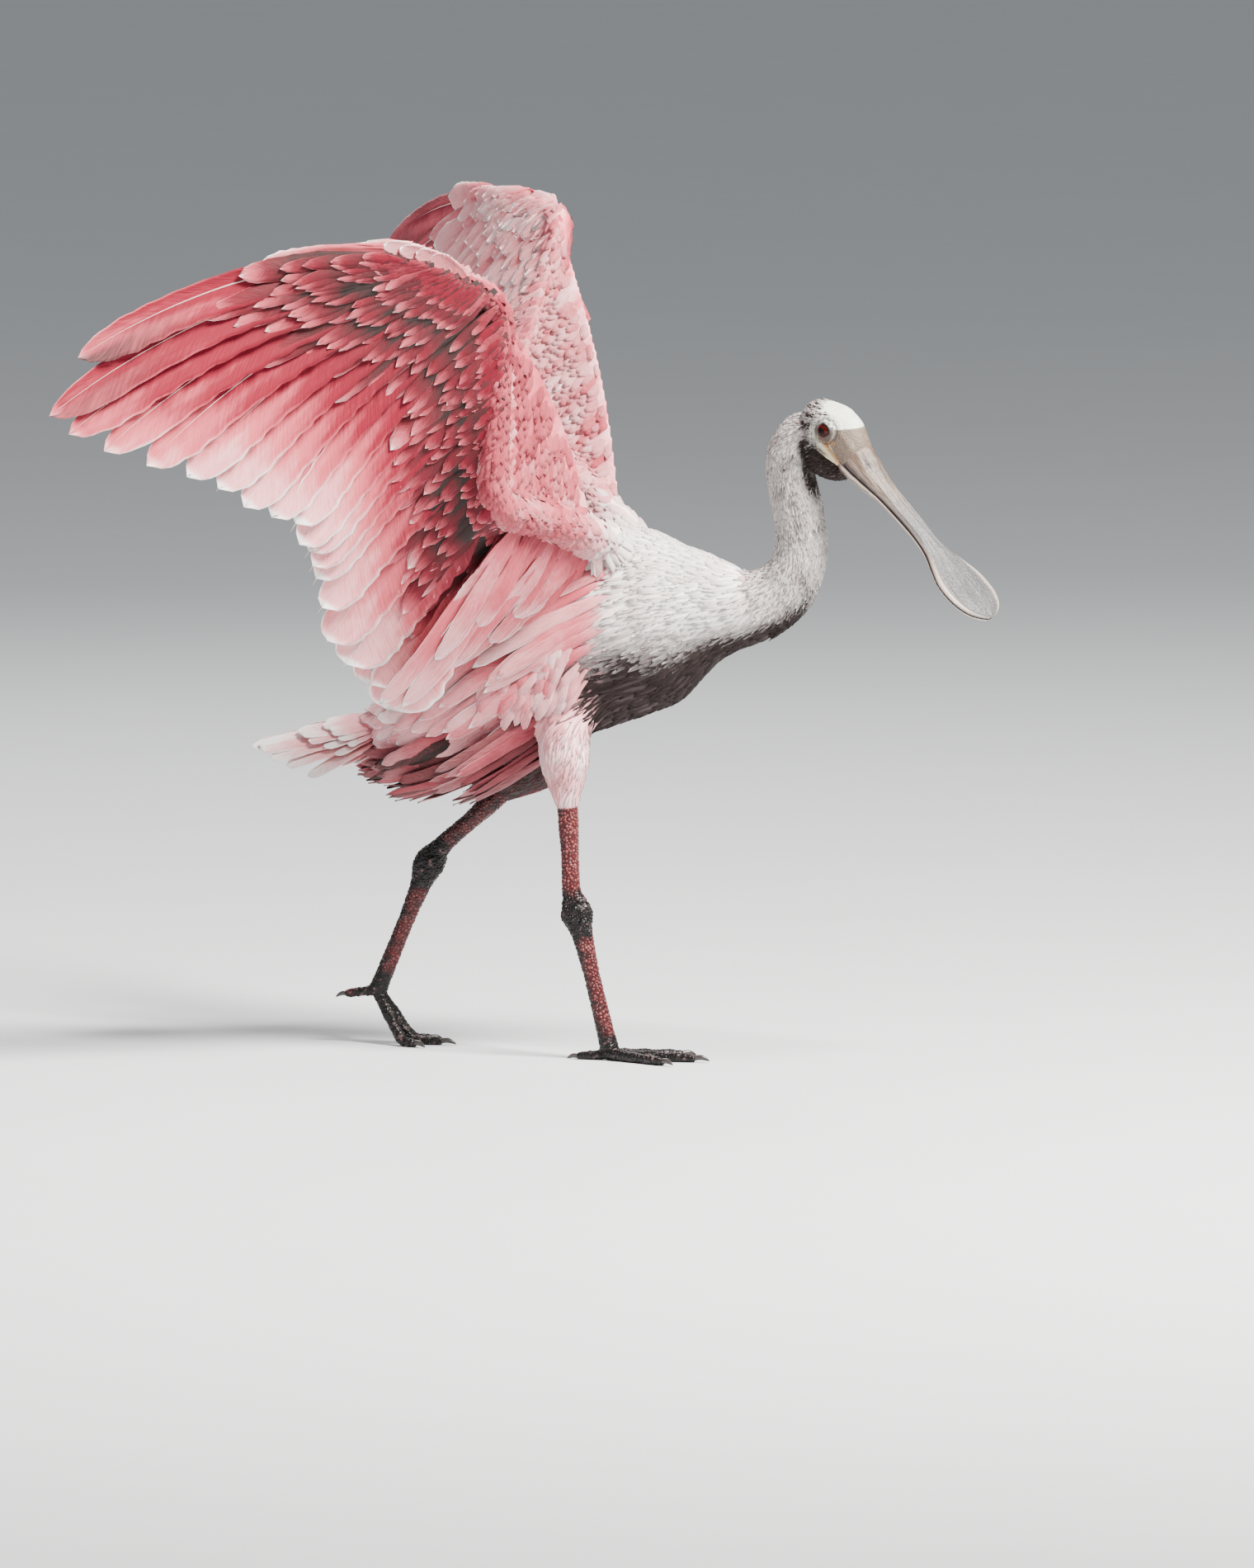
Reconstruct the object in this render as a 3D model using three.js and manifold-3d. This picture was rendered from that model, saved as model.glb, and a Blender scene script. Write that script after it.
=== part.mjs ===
// Roseate spoonbill, life size, wading with both wings raised.
// Millimetres. +X is the way the body heads, +Y is its left, +Z is up, and both feet rest on Z = 0.

import * as THREE from 'three';
import { mergeVertices } from 'three/addons/utils/BufferGeometryUtils.js';
import Module from 'manifold-3d';

const wasm = await Module();
wasm.setup();

const V = (x, y, z) => new THREE.Vector3(x, y, z);
const lerp = THREE.MathUtils.lerp;
const radians = THREE.MathUtils.degToRad;

// Sizes shared by every part
const GAP = 0.3;
const RIGHT = V(0, -1, 0);
const SIDES = { right: -1, left: 1 };

// Body line from the root of the tail to the inside of the head.
// Each station is forward, left, up, then half width, rise above and drop below.
const BODY_STATIONS = [
  [-164, 0, 231, 5, 5, 6],
  [-150, 0, 232, 16, 14, 22],
  [-128, 0, 237, 27, 27, 38],
  [-93, 0, 252, 42, 46, 57],
  [-40, 0, 282, 53, 68, 69],
  [18, 0, 305, 56, 73, 72],
  [68, 0, 319, 51, 72, 67],
  [98, 0, 325, 38, 51, 49],
  [118, 0, 327, 30, 40, 38],
  [139, 0, 329, 25, 30, 30],
  [160, 0, 341, 22, 25, 25],
  [171, 0, 358, 20, 22, 22],
  [174, 0, 377, 19, 20.5, 20.5],
  [172, 0, 397, 18.5, 20, 20],
  [168, 0, 419, 18.5, 20.5, 19],
  [168, -1, 438, 19, 21, 16],
  [175, -3, 452, 18, 20, 12],
  [188, -6, 460, 15, 15, 9],
];
const TAIL_STATION = 1.6;
const BREAST_STATION = 8;
const NECK_MIDDLE_STATION = 12;

// Head: where the corners of the mouth cross the middle plane, and how the head is held
const HEAD_CENTRE = V(210.5, -13.5, 442);
const HEAD_TURN = radians(17.6);
const BILL_DIP = radians(46.6);
const HEAD_LEAN = radians(10);
// Each station is forward of the mouth's corners, above them, half width, rise and drop.
const HEAD_STATIONS = [
  [-45, 2, 3, 3, 3],
  [-42, 2, 10, 9, 10],
  [-34, 2.5, 15.5, 15.5, 16],
  [-22, 3, 17.5, 21.5, 19],
  [-10, 3.5, 16.5, 22.5, 17],
  [0, 4, 14.5, 19.5, 14],
  [6, 4, 13.5, 17, 12.5],
];

// Bill: forward, height of the mouth's line, half width, upper half's rise, lower half's drop
const BILL_STATIONS = [
  [6.3, 1.2, 13.5, 19, 10.5],
  [14, 2.2, 13, 16.5, 10.5],
  [32, 4.6, 11.4, 10.3, 8.8],
  [50, 6.7, 9.7, 7.4, 6],
  [84, 8.7, 8.8, 6, 5],
  [102, 9.2, 11.5, 5.2, 4.2],
  [116, 9.7, 18, 4.2, 3.2],
  [131, 10.2, 24, 3.2, 2.5],
  [148, 11, 23.8, 2.7, 2.1],
  [159, 11.3, 18, 2.3, 1.8],
  [165, 11.4, 9.5, 2, 1.5],
  [167.5, 11.4, 2.5, 1.6, 1.2],
];
const NOSTRIL = { forward: 19, aside: 6.8, above: 16.6, length: 11, width: 2.2 };

// Eyes
const EYE = { forward: -18, aside: 12.3, above: 8.6, radius: 6.5, lidRadius: 5.6, lidThick: 1.5, lidAside: 16.4 };

// Legs: middle line of each from inside the body down to the root of the toes
const LEGS = {
  right: {
    knee: V(4, -36, 262),
    thighMiddle: V(6, -36, 232),
    cuff: V(8.5, -35, 181),
    shin: V(11.5, -35, 121),
    ankle: V(15.5, -35, 106),
    toeRoot: V(39.8, -35, 8),
  },
  left: {
    knee: V(6, 36, 238),
    thighMiddle: V(-22, 36, 217),
    cuff: V(-62, 35, 185),
    shin: V(-105, 35, 147),
    ankle: V(-115.5, 35, 133),
    toeRoot: V(-154.7, 35, 39),
  },
};
const THIGH_RADII = [27, 23, 9.5];
const SHANK_RADII = [7.4, 6.3];
const ANKLE_RADII = [8.2, 10.6];
const TARSUS_RADII = [7.4, 6.2, 6.8];

// Feet
const TOE = { length: 64, rootRadius: 4.6, tipRadius: 3, claw: 11, splay: radians(31), sideShare: 0.86 };
const HIND_TOE = { length: 24, rootRadius: 3.6, tipRadius: 2.5, claw: 8 };
const SOLE_SINK = 0.5;
const PAD_RADIUS = 7.5;
const TOE_BEND = { length: 43, slope: radians(50) };

// Tail: the middle and the outermost feather of one side, spread like a low roof
const TAIL = {
  pairs: 6,
  middleRoot: V(-141, -4, 239),
  middleTip: V(-238, -9, 221),
  outerRoot: V(-137, -16, 230),
  outerTip: V(-183, -42, 203),
  width: 15,
  roll: radians(13),
  coverts: [
    { reach: 0.58, lift: 6, width: 19 },
    { reach: 0.62, lift: -7, width: 19 },
  ],
};

// Wings: the joints of each, and the tips of its flight feathers from the outermost to the innermost
const WINGS = {
  right: {
    shoulder: V(30, -38, 378),
    elbow: V(-10.5, -158, 414),
    wrist: V(-6, -177, 556),
    finger: V(-67, -235.5, 593.7),
    tips: [
      [0, V(-264, -355, 523.5)],
      [1, V(-281, -370, 482.6)],
      [5, V(-199, -312, 434.5)],
      [9, V(-140, -249, 392)],
      [12, V(-134, -222, 362)],
      [17, V(-135.6, -171, 307.7)],
      [23, V(-108.5, -112, 250)],
    ],
    axillars: [V(-84, -6, -80), V(-100, 4, -142)],
    bulge: 15,
  },
  left: {
    shoulder: V(30, 38, 378),
    elbow: V(-62.4, 62.6, 465.8),
    wrist: V(-35, 103.5, 598),
    finger: V(-88.4, 179, 610.6),
    tips: [
      [0, V(-238.8, 346, 561.7)],
      [1, V(-263.4, 364, 505.6)],
      [5, V(-221, 263, 475)],
      [9, V(-178.6, 162.5, 444)],
      [12, V(-177, 143, 410)],
      [17, V(-175, 115, 361)],
      [23, V(-172, 82.6, 306)],
    ],
    axillars: [V(-84, 19, -85), V(-132, 22, -128)],
    bulge: 8,
  },
};
const FLIGHT_FEATHERS = 24;
const PRIMARIES = 10;
const SECONDARIES = 10;
const ARM_RADII = [20, 17, 15, 13, 13, 9, 5];
const PATAGIUM_THICK = 4;

// Feathers: each row of a vane is its share of the length and its share of the full width.
const FLIGHT_ROWS = [[0, 0.16], [0.3, 0.74], [0.7, 1], [0.93, 0.78], [1, 0.34]];
const COVERT_ROWS = [[0, 0.4], [0.76, 1], [1, 0.5]];
const VANE_THICK = { shaft: 0.8, edge: 0.6 };
const VANE_ROLL = radians(11);
const FRAME_REACH = 2;
const SMALL = 0.01;
// Full widths of the flight feathers from the outermost inward, spread evenly over them
const FLIGHT_WIDTHS = [27, 33, 35, 32, 32, 38];
// Arch of the shaft out of the wing's face and towards its front edge, as shares of its length
const BOW = { primary: 0.035, inner: 0.05 };
const SWEEP = { primary: 0.06, inner: 0.015 };
// Coverts lie over the flight feathers: share of their length, distance above, width, and how many to skip
const COVERT_TIERS = [
  { reach: 0.42, lift: 5.4, width: 20, every: 1 },
  { reach: 0.42, lift: -7.2, width: 29, every: 2 },
  { reach: 0.24, lift: 10.3, width: 23, every: 2 },
  { reach: 0.24, lift: -12.4, width: 23, every: 2 },
];
const ALULA = { feathers: 2, root: 0.2, reach: 1.02, spread: 7, width: 17 };
const AXILLARS = { feathers: 5, from: 0.14, to: 0.72, width: 33 };

// Turns a closed geometry into a solid, its shared corners merged and its faces outward.
function solid(geometry) {
  const bare = geometry.clone();
  bare.deleteAttribute('normal');
  bare.deleteAttribute('uv');
  const merged = mergeVertices(bare);
  const corners = new Float32Array(merged.attributes.position.array);
  const faces = new Uint32Array(merged.index.array);
  if (enclosedVolume(corners, faces) < 0) {
    for (let i = 0; i < faces.length; i += 3) {
      [faces[i], faces[i + 1]] = [faces[i + 1], faces[i]];
    }
  }
  return new wasm.Manifold(new wasm.Mesh({ numProp: 3, vertProperties: corners, triVerts: faces }));
}

function enclosedVolume(corners, faces) {
  const corner = (i) => V(corners[3 * faces[i]], corners[3 * faces[i] + 1], corners[3 * faces[i] + 2]);
  let volume = 0;
  for (let i = 0; i < faces.length; i += 3) {
    volume += corner(i).dot(corner(i + 1).cross(corner(i + 2))) / 6;
  }
  return volume;
}

function union(solids) {
  return solids.reduce((whole, piece) => whole.add(piece));
}

function largestPiece(whole) {
  const pieces = whole.decompose();
  return pieces.reduce((best, piece) => (piece.volume() > best.volume() ? piece : best));
}

// A tube along a smooth line through the stations, with oval sections and flat ends.
// Its sections lie square to the line, or to `facing` if it is given, with their widths along `across`.
function loft({ line, half, rise, drop, ...shaping }) {
  const { across = RIGHT, facing, sides = 16, rings = 12, from = 0, to = 1, grow = 0 } = shaping;
  const path = new THREE.CatmullRomCurve3(line);
  const sizes = new THREE.CatmullRomCurve3(half.map((value, i) => V(value, rise[i], drop[i])));
  const shape = new THREE.CylinderGeometry(1, 1, 1, sides, rings);
  const place = shape.attributes.position;
  for (let i = 0; i < place.count; i += 1) {
    const along = place.getY(i);
    const t = lerp(from, to, along + 0.5);
    const size = sizes.getPoint(t).addScalar(grow);
    const forward = facing ? facing.clone() : path.getTangent(t);
    const side = across.clone().addScaledVector(forward, -across.dot(forward)).normalize();
    const top = side.clone().cross(forward);
    const height = place.getZ(i);
    const point = path.getPoint(t);
    point.addScaledVector(side, place.getX(i) * size.x);
    point.addScaledVector(top, height * (height > 0 ? size.y : size.z));
    point.addScaledVector(forward, grow * Math.round(2 * along));
    place.setXYZ(i, point.x, point.y, point.z);
  }
  return solid(shape);
}

function roundLoft({ line, radii, ...rest }) {
  return loft({ line, half: radii, rise: radii, drop: radii, ...rest });
}

// A curved plate. placeAt(u, v) gives its middle surface, faceAt(u, v) its normal and thickAt(u, v) its
// thickness. Both faces are split into the same triangles, so that they never cross.
function plate({ columns, rows, placeAt, faceAt, thickAt }) {
  const corners = [];
  for (const face of [0.5, -0.5]) {
    for (let row = 0; row <= rows; row += 1) {
      for (let column = 0; column <= columns; column += 1) {
        const [u, v] = [column / columns, row / rows];
        const point = placeAt(u, v).addScaledVector(faceAt(u, v), face * thickAt(u, v));
        corners.push(point.x, point.y, point.z);
      }
    }
  }
  const stride = columns + 1;
  const layer = stride * (rows + 1);
  const faces = [];
  for (let row = 0; row < rows; row += 1) {
    for (let column = 0; column < columns; column += 1) {
      const a = row * stride + column;
      const c = a + stride + 1;
      faces.push(a, a + 1, c, a, c, a + stride);
      faces.push(a + layer, c + layer, a + 1 + layer, a + layer, a + stride + layer, c + layer);
    }
  }
  const wall = (a, b) => faces.push(a, a + layer, b + layer, a, b + layer, b);
  for (let column = 0; column < columns; column += 1) {
    wall(column, column + 1);
    wall(rows * stride + column + 1, rows * stride + column);
  }
  for (let row = 0; row < rows; row += 1) {
    wall((row + 1) * stride, row * stride);
    wall(row * stride + columns, (row + 1) * stride + columns);
  }
  const shape = new THREE.BufferGeometry();
  shape.setAttribute('position', new THREE.Float32BufferAttribute(corners, 3));
  shape.setIndex(faces);
  return solid(shape);
}

// Torso and neck: one line cut into three lengths
const bodyLine = {
  line: BODY_STATIONS.map(([x, y, z]) => V(x, y, z)),
  half: BODY_STATIONS.map((station) => station[3]),
  rise: BODY_STATIONS.map((station) => station[4]),
  drop: BODY_STATIONS.map((station) => station[5]),
};
const stationShare = (station) => station / (BODY_STATIONS.length - 1);

function gapShare(line, t) {
  const path = new THREE.CatmullRomCurve3(line);
  const reach = 0.001;
  const speed = path.getPoint(t + reach).distanceTo(path.getPoint(t - reach)) / (2 * reach);
  return GAP / speed;
}

const tailRoot = stationShare(TAIL_STATION);
const breast = stationShare(BREAST_STATION);
const neckMiddle = stationShare(NECK_MIDDLE_STATION);

function torsoSolid(grow = 0) {
  return loft({ ...bodyLine, from: tailRoot, to: breast, sides: 20, rings: 14, grow });
}

function neckLengths() {
  const lowerFrom = breast + gapShare(bodyLine.line, breast);
  const upperFrom = neckMiddle + gapShare(bodyLine.line, neckMiddle);
  const lower = loft({ ...bodyLine, from: lowerFrom, to: neckMiddle, sides: 16, rings: 8 });
  const upper = loft({ ...bodyLine, from: upperFrom, to: 1, sides: 16, rings: 9 });
  return { lower, upper: largestPiece(upper.subtract(skullSolid(GAP))) };
}

// Head frame: forward along the bill, to the bird's right, and up out of the crown
const headForward = V(
  Math.cos(BILL_DIP) * Math.cos(HEAD_TURN),
  -Math.cos(BILL_DIP) * Math.sin(HEAD_TURN),
  -Math.sin(BILL_DIP),
);
const levelRight = V(-Math.sin(HEAD_TURN), -Math.cos(HEAD_TURN), 0);
const headRight = levelRight.clone().applyAxisAngle(headForward, HEAD_LEAN);
const headUp = headRight.clone().cross(headForward);

function inHead(forward, aside, above) {
  return HEAD_CENTRE.clone()
    .addScaledVector(headForward, forward)
    .addScaledVector(headRight, aside)
    .addScaledVector(headUp, above);
}

function placeInHead(shape) {
  shape.applyMatrix4(new THREE.Matrix4().makeBasis(headRight, headForward, headUp));
  return shape;
}

function skullSolid(grow = 0) {
  return loft({
    line: HEAD_STATIONS.map(([forward, above]) => inHead(forward, 0, above)),
    half: HEAD_STATIONS.map((station) => station[2]),
    rise: HEAD_STATIONS.map((station) => station[3]),
    drop: HEAD_STATIONS.map((station) => station[4]),
    across: headRight,
    facing: headForward,
    sides: 16,
    rings: 10,
    grow,
  });
}

function eyeCentre(side) {
  return inHead(EYE.forward, -side * EYE.aside, EYE.above);
}

function eyeBall(side, grow = 0) {
  const ball = placeInHead(new THREE.SphereGeometry(EYE.radius + grow, 12, 8));
  const centre = eyeCentre(side);
  ball.translate(centre.x, centre.y, centre.z);
  return solid(ball);
}

function lidRing(side) {
  const ring = new THREE.TorusGeometry(EYE.lidRadius, EYE.lidThick, 5, 12);
  ring.rotateY(Math.PI / 2);
  placeInHead(ring);
  const centre = inHead(EYE.forward, -side * EYE.lidAside, EYE.above);
  ring.translate(centre.x, centre.y, centre.z);
  return solid(ring);
}

function headSolid() {
  let head = skullSolid();
  for (const side of Object.values(SIDES)) {
    head = head.add(lidRing(side)).subtract(eyeBall(side, GAP));
  }
  return largestPiece(head);
}

// Bill: two halves that part along the line of the mouth, with a slit nostril on each side
function billHalf(upper) {
  const rim = BILL_STATIONS.map(() => 0);
  const body = BILL_STATIONS.map((station) => station[upper ? 3 : 4]);
  const shift = upper ? 0 : -GAP;
  return loft({
    line: BILL_STATIONS.map(([forward, above]) => inHead(forward, 0, above + shift)),
    half: BILL_STATIONS.map((station) => station[2]),
    rise: upper ? body : rim,
    drop: upper ? rim : body,
    across: headRight,
    facing: headForward,
    sides: 12,
    rings: 13,
  });
}

function nostrilCut(side) {
  const slit = new THREE.SphereGeometry(1, 6, 4);
  slit.scale(NOSTRIL.width / 2, NOSTRIL.length / 2, NOSTRIL.width);
  placeInHead(slit);
  const centre = inHead(NOSTRIL.forward, -side * NOSTRIL.aside, NOSTRIL.above);
  slit.translate(centre.x, centre.y, centre.z);
  return solid(slit);
}

function upperBill() {
  return largestPiece(billHalf(true).subtract(nostrilCut(SIDES.right)).subtract(nostrilCut(SIDES.left)));
}

// Legs: feathered thigh, bare shank, and tarsus with the ankle at its top. Each piece starts inside the one
// above it and is cut clear of it.
function thighLoft(leg, grow = 0) {
  const line = [leg.knee, leg.thighMiddle, leg.cuff];
  return roundLoft({ line, radii: THIGH_RADII, sides: 12, rings: 7, grow });
}

function shankLoft(leg, grow = 0) {
  const line = [leg.cuff.clone().lerp(leg.shin, -0.12), leg.shin];
  return roundLoft({ line, radii: SHANK_RADII, sides: 10, rings: 3, grow });
}

function tarsusLoft(leg, grow = 0) {
  const start = leg.shin.clone().lerp(leg.ankle, -0.25);
  const below = leg.ankle.clone().lerp(leg.toeRoot, 0.16);
  const middle = leg.ankle.clone().lerp(leg.toeRoot, 0.55);
  const line = [start, leg.ankle, below, middle, leg.toeRoot];
  const [ankleHalf, ankleRise] = ANKLE_RADII;
  const half = [SHANK_RADII[1], ankleHalf, ...TARSUS_RADII];
  const rise = [SHANK_RADII[1] + 0.6, ankleRise, ...TARSUS_RADII];
  return loft({ line, half, rise, drop: rise, sides: 9, rings: 11, grow });
}

function thigh(leg, torso) {
  return largestPiece(thighLoft(leg).subtract(torso));
}

function shank(leg) {
  return largestPiece(shankLoft(leg).subtract(thighLoft(leg, GAP)));
}

function tarsus(leg) {
  return largestPiece(tarsusLoft(leg).subtract(shankLoft(leg, GAP)));
}

// A toe that follows a line of points and ends in a claw
function toe(line, size) {
  const last = line[line.length - 1];
  const before = line[line.length - 2];
  const heading = last.clone().sub(before).normalize();
  const radii = line.map((_, i) => lerp(size.rootRadius, size.tipRadius, i / (line.length - 1)));
  const clawRoot = last.clone().addScaledVector(heading, 1.5).setZ(size.tipRadius - 0.8);
  const clawTip = last.clone().addScaledVector(heading, size.claw).setZ(1);
  return roundLoft({
    line: [...line, clawRoot, clawTip],
    radii: [...radii, size.tipRadius * 0.55, 0.5],
    sides: 6,
    rings: 6,
  });
}

function toeLine(start, heading, length, bent) {
  const level = TOE.tipRadius - SOLE_SINK;
  const points = [start.clone()];
  if (bent) {
    const run = TOE_BEND.length * Math.cos(TOE_BEND.slope);
    points.push(start.clone().addScaledVector(heading, 0.5 * run).setZ(start.z * 0.52));
    points.push(start.clone().addScaledVector(heading, run).setZ(level + 1));
    points.push(start.clone().addScaledVector(heading, run + length - TOE_BEND.length).setZ(level));
  } else {
    points.push(start.clone().addScaledVector(heading, length * 0.35).setZ(level + 1));
    points.push(start.clone().addScaledVector(heading, length).setZ(level));
  }
  return points;
}

function foot(leg, bent) {
  const root = leg.toeRoot.clone();
  if (!bent) {
    root.setZ(TOE.rootRadius - SOLE_SINK);
  }
  const pieces = [];
  const pad = new THREE.SphereGeometry(PAD_RADIUS, 8, 6);
  pad.translate(root.x, root.y, root.z + (bent ? 0 : 1));
  pieces.push(solid(pad));
  for (const turn of [-1, 0, 1]) {
    const heading = V(Math.cos(turn * TOE.splay), Math.sin(turn * TOE.splay), 0);
    const length = TOE.length * (turn === 0 ? 1 : TOE.sideShare);
    pieces.push(toe(toeLine(root, heading, length, bent), TOE));
  }
  pieces.push(hindToe(root, bent));
  const floor = new THREE.BoxGeometry(400, 200, 40);
  floor.translate(root.x, root.y, -20);
  return largestPiece(union(pieces).subtract(solid(floor)).subtract(tarsusLoft(leg, GAP)));
}

function hindToe(root, bent) {
  const back = V(-1, 0, 0);
  const level = HIND_TOE.tipRadius - SOLE_SINK;
  if (!bent) {
    const line = [root, root.clone().addScaledVector(back, HIND_TOE.length).setZ(level)];
    return toe(line, HIND_TOE);
  }
  const line = [
    root,
    root.clone().addScaledVector(back, HIND_TOE.length * 0.5).add(V(0, 0, -1)),
    root.clone().addScaledVector(back, HIND_TOE.length).add(V(0, 0, -3)),
    root.clone().addScaledVector(back, HIND_TOE.length + HIND_TOE.claw).add(V(0, 0, -5)),
  ];
  return roundLoft({ line, radii: [HIND_TOE.rootRadius, 3, 2, 0.5], sides: 6, rings: 5 });
}

// The line of a feather's shaft by its share from root to tip, arched out of its face and towards its front
function archedShaft(root, tip, { lead, face }, bow = 0, sweep = 0) {
  const length = root.distanceTo(tip);
  return (share) => {
    const arch = 4 * share * (1 - share) * length;
    return root.clone().lerp(tip, share).addScaledVector(face, bow * arch).addScaledVector(lead, sweep * arch);
  };
}

// A feather: a thin slab along its shaft. At each share of its length frameAt gives `lead`, towards its front
// edge, and `face`, out of its upper side; `ahead` is the share of its width in front of the shaft.
function vane({ shaftAt, frameAt, width, rows = COVERT_ROWS, columns = 1, ahead = 0.45 }) {
  const rowAt = (v) => rows[Math.round(v * (rows.length - 1))];
  const placeAt = (u, v) => {
    const [share, wide] = rowAt(v);
    return shaftAt(share).addScaledVector(frameAt(share).lead, (ahead - u) * width * wide);
  };
  const faceAt = (u, v) => frameAt(rowAt(v)[0]).face;
  const thickAt = (u) => lerp(VANE_THICK.shaft, VANE_THICK.edge, Math.abs(2 * u - 1));
  return plate({ columns, rows: rows.length - 1, placeAt, faceAt, thickAt });
}

// Directions of a feather that lies in a row of others, its front edge rolled up over the one outside it
function rolledFrame(heading, outward, side, roll = VANE_ROLL) {
  const along = heading.clone().normalize();
  const lead = outward.clone().addScaledVector(along, -outward.dot(along)).normalize();
  const face = along.clone().cross(lead).multiplyScalar(-side);
  const turn = (main, other, share) => main.clone().multiplyScalar(Math.cos(roll)).addScaledVector(other, share);
  return { lead: turn(lead, face, Math.sin(roll)), face: turn(face, lead, -Math.sin(roll)) };
}

// A feather with one direction along its whole length
function plainFeather({ root, tip, outward, side, roll, bow, ...shape }) {
  const frame = rolledFrame(tip.clone().sub(root), outward, side, roll);
  return { shaftAt: archedShaft(root, tip, frame, bow), frameAt: () => frame, ...shape };
}

// Tail: a core behind the torso, six pairs of feathers, and shorter coverts above and below them
function tailFeather(side, pair) {
  const spread = pair / (TAIL.pairs - 1);
  const mirror = V(1, -side, 1);
  const root = TAIL.middleRoot.clone().lerp(TAIL.outerRoot, spread).multiply(mirror);
  const tip = TAIL.middleTip.clone().lerp(TAIL.outerTip, spread);
  tip.x -= 14 * Math.sin(Math.PI * spread);
  tip.z += 5 * Math.sin(Math.PI * spread);
  tip.multiply(mirror);
  return plainFeather({ root, tip, outward: V(0, side, 0), side, roll: TAIL.roll, width: TAIL.width, ahead: 0.5 });
}

function tailSolid(torso) {
  const pieces = [loft({ ...bodyLine, to: tailRoot, sides: 12, rings: 4 })];
  for (const side of Object.values(SIDES)) {
    for (let pair = 0; pair < TAIL.pairs; pair += 1) {
      const feather = tailFeather(side, pair);
      pieces.push(vane({ ...feather, rows: FLIGHT_ROWS }));
      for (const tier of pair % 3 ? [] : TAIL.coverts) {
        pieces.push(covert(feather, tier));
      }
    }
  }
  return largestPiece(union(pieces).subtract(torso));
}

// Wings: a smooth line through the tips, numbered from the outermost feather inward
function tipAt(wing, feather) {
  const line = new THREE.CatmullRomCurve3(wing.tips.map(([, tip]) => tip));
  const places = wing.tips.map(([place]) => place);
  let span = 0;
  while (span < places.length - 2 && feather > places[span + 1]) {
    span += 1;
  }
  const share = (feather - places[span]) / (places[span + 1] - places[span]);
  return line.getPoint((span + share) / (places.length - 1));
}

function rootAt(wing, feather) {
  if (feather < PRIMARIES) {
    return wing.finger.clone().lerp(wing.wrist, 0.88 * (feather / (PRIMARIES - 1)));
  }
  const secondary = feather - PRIMARIES;
  if (secondary < SECONDARIES) {
    return wing.wrist.clone().lerp(wing.elbow, lerp(0.1, 0.93, secondary / (SECONDARIES - 1)));
  }
  return wing.elbow.clone().lerp(wing.shoulder, 0.07 * (secondary - SECONDARIES));
}

function flightShaft(wing, side, feather) {
  const root = rootAt(wing, feather);
  const tip = tipAt(wing, feather);
  const middleAt = (i) => rootAt(wing, i).lerp(tipAt(wing, i), 0.5);
  const [outer, inner] = neighbours(feather);
  const frame = rolledFrame(tip.clone().sub(root), middleAt(outer).sub(middleAt(inner)), side, 0);
  const inwards = Math.min(feather / PRIMARIES, 1);
  const bow = lerp(BOW.primary, BOW.inner, inwards);
  return archedShaft(root, tip, frame, bow, lerp(SWEEP.primary, SWEEP.inner, inwards));
}

function neighbours(feather) {
  return [Math.max(feather - FRAME_REACH, 0), Math.min(feather + FRAME_REACH, FLIGHT_FEATHERS - 1)];
}

function flightFeather(wing, side, feather) {
  const shaftAt = flightShaft(wing, side, feather);
  const [outer, inner] = neighbours(feather).map((i) => flightShaft(wing, side, i));
  const frameAt = (share) => {
    const heading = shaftAt(share + SMALL).sub(shaftAt(share - SMALL));
    return rolledFrame(heading, outer(share).sub(inner(share)), side);
  };
  const place = (feather / (FLIGHT_FEATHERS - 1)) * (FLIGHT_WIDTHS.length - 1);
  const step = Math.min(Math.floor(place), FLIGHT_WIDTHS.length - 2);
  return {
    shaftAt,
    frameAt,
    width: lerp(FLIGHT_WIDTHS[step], FLIGHT_WIDTHS[step + 1], place - step),
    ahead: lerp(0.34, 0.45, Math.min(feather / PRIMARIES, 1)),
  };
}

// A covert over (or under) a longer feather: it follows that feather's shaft at a distance from it.
function covert(feather, { reach, lift, ...shape }) {
  const frameAt = (share) => feather.frameAt(share * reach);
  const shaftAt = (share) => feather.shaftAt(share * reach).addScaledVector(frameAt(share).face, lift);
  return vane({ shaftAt, frameAt, ...shape });
}

function alulaFeather(wing, side, feather) {
  const { wrist, finger } = wing;
  const { lead, face } = flightFeather(wing, side, 0).frameAt(0);
  const root = wrist.clone().lerp(finger, ALULA.root);
  const tip = wrist.clone().lerp(finger, ALULA.reach - 0.14 * feather);
  tip.addScaledVector(lead, ALULA.spread + 3 * feather).addScaledVector(face, 2.5 * (feather - 1));
  root.addScaledVector(face, 2.5 * (feather - 1));
  return vane(plainFeather({ root, tip, outward: lead, side, roll: 0, width: ALULA.width }));
}

// The long feathers that hang from the arm between the body and the innermost flight feathers
function axillar(wing, side, feather) {
  const share = feather / (AXILLARS.feathers - 1);
  const root = wing.shoulder.clone().lerp(wing.elbow, lerp(AXILLARS.from, AXILLARS.to, share));
  const tip = root.clone().add(wing.axillars[0].clone().lerp(wing.axillars[1], share));
  const outward = wing.elbow.clone().sub(wing.shoulder);
  return vane(plainFeather({ root, tip, outward, side, bow: 0.05, width: AXILLARS.width }));
}

function armSolid(wing) {
  const { shoulder, elbow, wrist, finger } = wing;
  const half = (a, b) => a.clone().lerp(b, 0.5);
  const inside = shoulder.clone().lerp(elbow, -0.3);
  const line = [inside, half(shoulder, elbow), elbow, half(elbow, wrist), wrist, half(wrist, finger), finger];
  return roundLoft({ line, radii: ARM_RADII, across: V(1, 0, 0), sides: 8, rings: 12 });
}

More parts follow.
